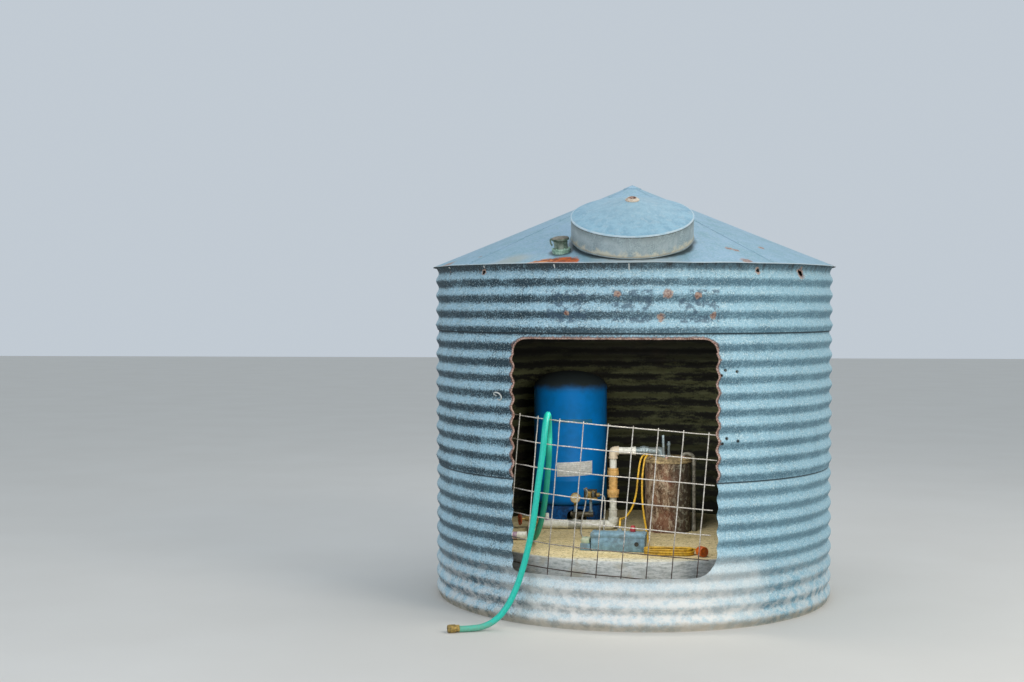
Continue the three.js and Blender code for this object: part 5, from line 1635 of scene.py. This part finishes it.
class MakePipes(bpy.types.Operator):
    """Run the plastic line down to the slab, with its check valve, and lay the loose length"""

    bl_idname = "well_house.pipes"
    bl_label = "Pipes"

    def execute(self, context):
        pipes = settings().pipes
        x, y, line, small = pipes.riser, pipes.row, pipes.line, pipes.small
        start = 0.0197
        low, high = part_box("check_valve")
        top, foot = high.z, low.z

        def level(x):
            return x, y, line

        def upward(z):
            return x, y, z

        elbow = [level(x + 0.026), level(x + 0.012), (x + 0.002, y, line - 0.003), upward(line - 0.012),
                 upward(line - 0.038)]
        shape = Shape().rods(0, level, (start, x + 0.02, small, 32, 0))
        shape.rods(1, level, (start, start - 0.010, 0.0208, 8, 0.0008))
        shape.socket(level(start - 0.006), level(-0.006), 0.0208, 1)
        shape.put(wire(elbow, 0.0208, sides=5, resolution=5), 2)
        shape.rods(2, level, (x + 0.019, x + 0.027, 0.0226, 32, 0.0012))
        shape.rods(2, upward, (line - 0.031, line - 0.039, 0.0226, 32, 0.0012))
        shape.rods(0, upward, (line - 0.035, top + 0.0003, small, 32, 0))
        shape.piece("discharge_line", ["white_plastic", "white_plastic", "peach_plastic"], "white_plastic",
                    ["discharge_pipe"])
        valve = Shape().rods(
            0, upward, (foot, top, 0.0205, 32, 0.001), (top - 0.0002, top - 0.0117, 0.0262, 10, 0.0016),
            (top - 0.0117, top - 0.0337, 0.0285, 10, 0.0016), (foot, foot + 0.013, 0.0265, 10, 0.0016),
            (foot + 0.013, foot + 0.036, 0.0295, 10, 0.0016))
        for z in (foot + 0.052, foot + 0.070, foot + 0.088):
            valve.rods(0, upward, (z, z + 0.004, 0.0222, 32, 0.001))
        valve.piece("check_valve_body", ["tan_plastic"], "tan_plastic", ["check_valve"])
        self.riser(x, y, foot - 0.0003)
        self.slab_line(y)
        self.cut_length()
        return {"FINISHED"}

    def riser(self, x, y, top):
        """The lower riser, its couplings and the elbow on the slab."""
        z, coupling = slab_axis(), 0.325
        elbow = [(x, y, coupling - 0.007), (x, y, z + 0.016), (x - 0.003, y, z + 0.004), (x - 0.012, y, z),
                 (x - 0.036, y, z)]
        shape = Shape().rods(0, lambda z: (x, y, z), (z + 0.02, top, settings().pipes.small, 32, 0),
                             (coupling - 0.021, coupling + 0.002, 0.0242, 32, 0.0016))
        shape.socket((x, y, coupling), (x, y, coupling + 0.043), 0.0212)
        shape.put(wire(elbow, 0.0212, sides=5, resolution=5))
        shape.rods(0, lambda x: (x, y, z), (x - 0.031, x - 0.0398, settings().pipes.fitting, 32, 0.0012))
        shape.piece("riser_line", ["white_plastic"], "white_plastic", ["riser_pipe"])

    def slab_line(self, y):
        """The line along the slab with its tee and a capped stub."""
        pipes = settings().pipes
        low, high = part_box("slab_pipe")
        z, tee, stub = slab_axis(), pipes.tee, -0.405
        shape = Shape().rods(0, lambda x: (x, y, z), (pipes.riser - 0.0403, low.x, pipes.large, 32, 0.0008))
        for end in (-0.038, 0.038):
            shape.socket((tee, y, z), (tee + end, y, z), pipes.fitting)
        shape.socket((tee, y, z), (tee, y + 0.045, z), 0.0200)
        shape.rods(0, lambda z: (stub, y, z), (z + 0.010, high.z, 0.009, 20, 0.0008))
        shape.rods(1, lambda z: (stub, y, z), (z + 0.019, z + 0.030, 0.0115, 20, 0.001))
        shape.piece("slab_line", ["white_plastic", "primer_stain"], "white_plastic", ["slab_pipe"])

    def cut_length(self):
        """The cut length of pipe that lies in front, with a sleeve and a stain of primer."""
        low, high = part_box("pipe_offcut")
        y, z = (low.y + high.y) / 2, (low.z + high.z) / 2
        small, length = settings().pipes.small, high.x - low.x
        pipe = [(small, 0.0), (small, 0.120), (small - 0.003, 0.120), (small - 0.003, 0.0)]
        sleeve = metres([(18.6, 0), (18.6, 36), (20, 36.5), (20, 42), (15, 42), (15, 0)])
        stain = [(small + 0.0003, 0.0), (small + 0.0003, 0.020), (small + 0.0001, 0.020),
                 (small + 0.0001, 0.0)]
        shape = Shape()
        for profile, material, back in ((pipe, 0, length), (sleeve, 0, 0.042), (stain, 1, 0.064)):
            place = along((high.x - back, y, z), (high.x, y, z))
            shape.put(spun(profile, 32, closed=True), material, [place])
        shape.piece("cut_pipe_length", ["white_plastic", "primer_stain"], "white_plastic", ["pipe_offcut"])


class MakeTankFittings(bpy.types.Operator):
    """Make the inlet tee, the gauge and the open pressure switch"""

    bl_idname = "well_house.tank_fittings"
    bl_label = "Tank fittings"

    def execute(self, context):
        pipes = settings().pipes
        x, y, z, slab = pipes.tee, pipes.tee_row, pipes.tee_height, slab_axis()
        back, near, gland, small = 0.460, 0.1253, -0.198, 0.0165
        inlet, top = slab + 0.008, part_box("pressure_tank")[0].z - 0.0003
        shape = Shape().put(ball((x, y, slab), 0.0175)).put(ball((x, back, inlet), 0.0140))
        shape.rods(0, lambda y: (x, y, slab), (near, y, small, 28, 0),
                   (near, near + 0.0117, 0.0180, 8, 0.0008))
        shape.rods(0, lambda z: (x, y, z), (slab, z + 0.012, small, 28, 0.001))
        shape.rods(0, lambda x: (x, y, z), (x - 0.024, -0.185, 0.0125, 28, 0.0008))
        for at in (x - 0.024, x + 0.018, gland - 0.014, gland + 0.004):
            shape.rods(0, lambda x: (x, y, z), (at, at + 0.008, 0.0148, 8, 0.0008))
        shape.rods(0, lambda y: (x, y, inlet), (y, back, 0.0135, 28, 0))
        shape.rods(0, lambda z: (x, back, z), (inlet, top, 0.0135, 28, 0))
        for at, reach, neck in ((x, 0.372, 0.0062), (gland, 0.405, 0.0072)):
            shape.rods(1, lambda z: (at, y, z), (z, reach, neck, 16, 0),
                       (z + 0.011, z + 0.021, neck + 0.004, 6, 0.0006))
        shape.piece("inlet_tee", ["old_brass", "grey_metal"], "brass", ["tank_tee"])
        self.gauge(x, y)
        self.switch(y)
        return {"FINISHED"}

    def gauge(self, x, y):
        """A dial gauge with ticks and a needle, its face toward the doorway."""
        face = move(x, y, 0.410) @ turn(90, "X")
        case = metres([(0, -12), (22, -12), (24.5, -9), (24.5, 12), (25, 13), (25, 15.5), (23.5, 16),
                       (22.2, 14.5), (22.2, 12), (0, 12)])
        dial = metres([(0, 12.2), (22, 12.2), (22, 12.6), (0, 12.6)])
        shape = Shape(face).put(spun(case, 48)).put(spun(dial, 40), 1)
        tick = brick((-0.0004, 0.0165, 0.0125), (0.0004, 0.0205, 0.0129), 0.0001)
        shape.put(tick, 2, [turn(-135 + 27 * i, "Z") for i in range(11)])
        needle = brick((-0.0007, -0.005, 0.0128), (0.0007, 0.0165, 0.0134), 0.0002)
        shape.put(needle, 2, [turn(62, "Z")])
        shape.put(bar((0, 0, 0.0125), (0, 0, 0.0142), 0.0022, 12), 2)
        shape.put(bar((x, y, 0.3723), (x, y, 0.388), 0.0088, 6, 0.0008), 0, [face.inverted()])
        shape.piece("gauge_dial", ["brass", "dial_face", "black_plastic"], "brass", ["pressure_gauge"])

    def switch(self, y):
        """The switch without its cover: base, contact block, two springs and terminals."""
        low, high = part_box("pressure_switch")
        left, right, foot, gland, row = low.x, -0.166, low.z, 0.425, y - 0.014
        back, base, turns, steps = high.y - 0.020, foot + 0.005, 7, 72
        shape = Shape().put(brick((left, low.y, foot), (right, high.y, foot + 0.006), 0.0012))
        shape.put(brick((left + 0.002, back, base), (right - 0.002, high.y - 0.002, foot + 0.044)), 1)
        shape.put(brick((left + 0.008, y - 0.002, base), (right - 0.030, y + 0.012, foot + 0.034)), 2)
        springs = ((left + 0.014, 0.0070, foot + 0.0565), ((left + right) / 2 + 0.014, 0.0050, foot + 0.044))
        for x, radius, top in springs:
            circle = arc(radius, radius, 0, 360 * turns, steps, (x, row))
            coil = [(*point, z) for point, z in zip(circle, spread(foot + 0.008, top - 0.006, steps))]
            shape.put(wire(coil, 0.0011, resolution=2), 3)
            shape.rods(0, lambda z: (x, row, z), (foot + 0.004, top, 0.0022, 12, 0))
            shape.rods(2, lambda z: (x, row, z), (top - 0.008, top - 0.002, radius, 6, 0))
        screw = bar((0, 0, 0), (0, -0.004, 0), 0.0035, 12, 0.0005)
        shape.put(screw, 2, [move(left + 0.012 + 0.014 * i, back, foot + 0.032) for i in range(4)])
        shape.rods(0, lambda x: (x, y, gland), (right - 0.004, -0.1542, 0.0095, 20, 0.001),
                   (-0.162, -0.157, 0.0115, 8, 0.0006))
        lead = [(left + 0.010, back - 0.002, foot + 0.034), (left + 0.004, y - 0.010, foot + 0.050),
                (left + 0.020, y - 0.022, foot + 0.040), (left + 0.012, y - 0.015, foot + 0.001)]
        shape.put(wire(lead, 0.0022), 4)
        shape.piece("switch_works", ["brass", "black_plastic", "brass", "grey_metal", "pale_jacket"],
                    "dark_paint", ["pressure_switch"])


class MakeHoseValve(bpy.types.Operator):
    """Make the hose valve and its hand wheel"""

    bl_idname = "well_house.hose_valve"
    bl_label = "Hose valve"

    def execute(self, context):
        pipes = settings().pipes
        x, y, z, slab = pipes.valve, pipes.row, pipes.valve_height, slab_axis()
        inlet, spout = -0.4403, 0.0285
        joint = next(joint for joint in frame["joints"] if joint["name"] == "valve_turn")
        hub, out = Vector(joint["pos_m"]), Vector(joint["axis"])
        stem = Vector((x, y, hub.z))
        shape = Shape().put(ball((x, y, z), 0.0235, segments=28))
        shape.rods(0, lambda x: (x, y, slab), (inlet, x - 0.006, 0.0185, 28, 0.001),
                   (inlet, inlet - 0.0117, 0.0200, 8, 0.0012))
        threads = [(at, at - 0.0019, 0.0180, 28, 0.0005) for at in spread(spout, spout - 0.0192, 6)]
        shape.rods(0, lambda y: (x, y, z), (y, 0.030, 0.0148, 28, 0), (0.029, 0.006, 0.0168, 28, 0),
                   *threads)
        shape.rods(0, lambda reach: stem + out * reach, (0.010, 0.030, 0.0150, 6, 0.0012),
                   (0.028, 0.044, 0.0115, 6, 0.0010), (0.040, 0.062, 0.0048, 16, 0))
        shape.piece("valve_body", ["brass"], "brass", ["hose_valve"])
        self.hand_wheel(along(hub, hub + out))
        return {"FINISHED"}

    def hand_wheel(self, place):
        """The hand wheel with its five lobes and spokes."""
        rim = spun(arc(0.0032, 0.0036, 0, 324, 9, (0.0278, 0.006)), 60, closed=True)
        for vert in rim.verts:
            angle = math.atan2(vert.co.y, vert.co.x)
            vert.co.xy *= 1 - 0.035 * (1 + math.cos(5 * angle)) / 2
        hub = spun(metres([(0, 0), (9, 0), (10, 2), (9, 10), (6, 12), (0, 12)]), 24)
        spoke = wire(metres([(6, 0, 6), (14, 0, 7.5), (26, 0, 6)]), 0.0034, sides=2)
        wheel = Shape(place).put(rim).put(hub).put(spoke, 0, fan(5, 36))
        wheel.put(bar((0, 0, 0.011), (0, 0, 0.0138), 0.0045, 6, 0.0005), 1)
        wheel.piece("hand_wheel", ["orange_paint", "brass"], "orange_paint", ["valve_wheel"], "wheel")


class MakeBoxes(bpy.types.Operator):
    """Make the junction box with its lid and knock-outs, and the control block beside it"""

    bl_idname = "well_house.boxes"
    bl_label = "Boxes"

    def execute(self, context):
        place = move(-0.056, -0.505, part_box("junction_box")[0].z) @ turn(-6, "Z")
        self.box(place)
        block = Shape(place).put(brick((-0.166, -0.038, 0.0), (-0.122, 0.024, 0.030), 0.003))
        block.put(brick((-0.163, -0.035, 0.029), (-0.125, 0.021, 0.052), 0.004), 1)
        block.put(bar((0, 0, 0.051), (0, 0, 0.0535), 0.004, 12, 0.0006), 2,
                  [move(-0.144, y, 0) for y in (-0.026, 0.012)])
        block.piece("control_block_case", ["box_paint", "green_tape", "grey_metal"], "box_paint",
                    ["control_block"])
        return {"FINISHED"}

    def box(self, place):
        """The box, its lid with four screws, its knock-outs, cable gland and plug."""
        front, back = 0.045, 0.035
        shape = Shape(place).put(brick((-0.118, -front, 0.0), (0.118, front, 0.064), 0.004))
        shape.put(brick((-0.121, -0.048, 0.060), (0.121, 0.048, 0.078), 0.0035))
        shape.put(brick((-0.110, -0.038, 0.076), (0.110, 0.038, 0.0795), 0.002))
        screw = bar((0, 0, 0.0785), (0, 0, 0.0815), 0.0045, 16, 0.0008)
        shape.put(screw, 1, [move(x, y, 0) for x in (-0.108, 0.108) for y in (-0.036, 0.036)])
        ring = spun(metres([(10.5, 0), (13.5, 0), (13.5, 1.8), (10.5, 1.8)]), 32, closed=True)
        open_one, shut_one = (move(x, -front, 0.034) @ turn(90, "X") for x in (0.082, -0.05))
        shape.put(ring, 0, [open_one, shut_one])
        shape.put(bar((0, 0, 0), (0, 0, 0.0012), 0.0098, 32), 2, [open_one])
        shape.put(bar((0, back, 0.070), (0, back, 0.0835), 0.0125, 6, 0.001), 3)
        gland = metres([(0, 80), (9, 80), (9, 86.5), (7.5, 90), (4.6, 90), (0, 90)])
        shape.put(spun(gland, 24), 3, [move(0, back, 0)])
        plug = metres([(0, 0), (12.5, 0), (13.5, 3), (11, 20), (7, 27), (0, 28)])
        shape.put(spun(plug, 10), 4, [move(0.060, 0.018, 0.0793)])
        shape.piece("box_and_lid", ["box_paint", "grey_metal", "black_plastic", "grey_metal", "red_plastic"],
                    "box_paint", ["junction_box"])


class MakeWirePanel(bpy.types.Operator):
    """Weld the wire panel that leans in the doorway"""

    bl_idname = "well_house.wire_panel"
    bl_label = "Wire panel"

    # Heading of each cell to the left of the flat ones, in degrees
    yaws = (8, 14, 25, 38, 48)

    def plan(self, cells, out):
        """Where an upright stands: cells from the right, and how far in front of the sheet."""
        sizes = settings().panel
        x, y, yaw = -min(cells, sizes.flat_cells) * sizes.cell, 0.0, 0.0
        left = cells - sizes.flat_cells
        for angle in self.yaws:
            if left > 0:
                yaw = math.radians(angle)
                step = min(left, 1) * sizes.cell
                x -= step * math.cos(yaw)
                y += step * math.sin(yaw)
                left -= 1
        return x - out * math.sin(yaw), y - out * math.cos(yaw)

    def execute(self, context):
        sizes = settings().panel
        cell, rows, radius = sizes.cell, sizes.rows, sizes.wire
        place = move(0.317, -0.8313, 0.809) @ Matrix.Rotation(sizes.tilt, 4, "Y")
        depth = radius - 0.0006
        columns = sizes.flat_cells + len(self.yaws) + 1
        stops = [-sizes.right_stub / cell, *spread(0, columns - 1, 2 * columns - 2)]
        stops.append(columns - 1 + sizes.left_stub / cell)
        shape = Shape(place)
        for row in range(rows):
            points = []
            for i, cells in enumerate(stops):
                sway = sizes.sway * noise.noise(Vector((i * 0.8, row * 3.1, 0)))
                points.append((*self.plan(cells, -depth), sway - row * cell))
            shape.put(wire(points, radius))
        heights = spread(sizes.top_stub, -(rows - 1) * cell - sizes.foot, 2 * rows)
        for column in range(columns):
            points = []
            x, y = self.plan(column, depth)
            for i, height in enumerate(heights):
                sway = sizes.sway * noise.noise(Vector((i * 0.7, column * 2.3, 5)))
                points.append((x + sway, y, height))
            shape.put(wire(points, radius))
        weld = ball((0, 0, 0), radius * 1.15, (1.1, 1.0, 0.8), 8)
        shape.put(weld, 0, [move(*self.plan(column, 0.0), -row * cell) for row in range(rows)
                            for column in range(columns)])
        shape.piece("welded_wire_panel", ["panel_wire"], "panel_wire", ["wire_panel"], sharp=60.0)
        return {"FINISHED"}


class MakeStage(bpy.types.Operator):
    """Lay a plain pale floor and light it softly"""

    bl_idname = "well_house.stage"
    bl_label = "Stage"

    def execute(self, context):
        floor = bmesh.new()
        bmesh.ops.create_grid(floor, x_segments=1, y_segments=1, size=30.0)
        stage = loose_object("floor", floor)
        paper = Shader("floor")
        paper.base(paper.noise(1.5, 3.0, 0.5), 0xD2CFC8, 0xDAD8D2)
        paper.set(roughness=0.9)
        stage.data.materials.append(paper.material)
        world = bpy.data.worlds.new("studio")
        world.use_nodes = True
        sky = world.node_tree.nodes["Background"]
        sky.inputs["Color"].default_value = (*linear(0xDCE6F0), 1.0)
        sky.inputs["Strength"].default_value = 0.75
        context.scene.world = world
        context.scene.view_settings.view_transform = "Standard"
        self.softbox("key", (4.4, -4.2, 4.2), (0.0, 0.0, 0.8), 2.6, 178.0, 0xFFF6EA)
        self.softbox("fill", (-3.0, -6.0, 2.3), (0.0, 0.0, 0.6), 3.0, 104.0, 0xEEF4FF)
        self.softbox("top", (0.4, 1.6, 5.4), (0.0, 0.0, 1.2), 4.0, 50.0, 0xF2F6FF)
        self.softbox("inside", (-0.06, -0.66, 1.12), (0.0, 0.0, 0.3), 0.42, 7.0, 0xFFFAF0)
        return {"FINISHED"}

    def softbox(self, name, place, aim, size, power, colour):
        """A square area light that looks at a point."""
        light = bpy.data.lights.new(name, "AREA")
        light.size = size
        light.energy = power
        light.color = linear(colour)
        lamp = linked(name, light)
        lamp.location = place
        lamp.rotation_euler = (Vector(aim) - Vector(place)).to_track_quat("-Z", "Y").to_euler()


OPERATORS = (
    MakeFinishes, MakeCamera, MakeHose, MakeCables, MakeWall, MakeWallTrim, MakeRoof, MakeManhole,
    MakeFiller, MakeSlab, MakeTank, MakeWellHead, MakePipes, MakeTankFittings, MakeHoseValve,
    MakeBoxes, MakeWirePanel, MakeStage,
)


class WellHousePanel(bpy.types.Panel):
    """Lists the steps that dress the well house."""

    bl_idname = "VIEW3D_PT_well_house"
    bl_label = "Well house"
    bl_space_type = "VIEW_3D"
    bl_region_type = "UI"
    bl_category = "Well house"

    def draw(self, context):
        for operator in OPERATORS:
            self.layout.operator(operator.bl_idname)


# WellHouse points to the other groups, so it comes after them
GROUPS = (
    CameraSizes, CordSizes, WallSizes, DoorwaySizes, RoofSizes, PipeSizes, PanelSizes, Colours, WellHouse,
)


def register():
    for made in (*GROUPS, *OPERATORS, WellHousePanel):
        bpy.utils.register_class(made)
    bpy.types.Scene.well_house = PointerProperty(type=WellHouse)


def unregister():
    del bpy.types.Scene.well_house
    for made in reversed((*GROUPS, *OPERATORS, WellHousePanel)):
        bpy.utils.unregister_class(made)


def main():
    """Dresses the frame."""
    register()
    for operator in OPERATORS:
        group, name = operator.bl_idname.split(".")
        getattr(getattr(bpy.ops, group), name)()


if __name__ == "__main__":
    main()
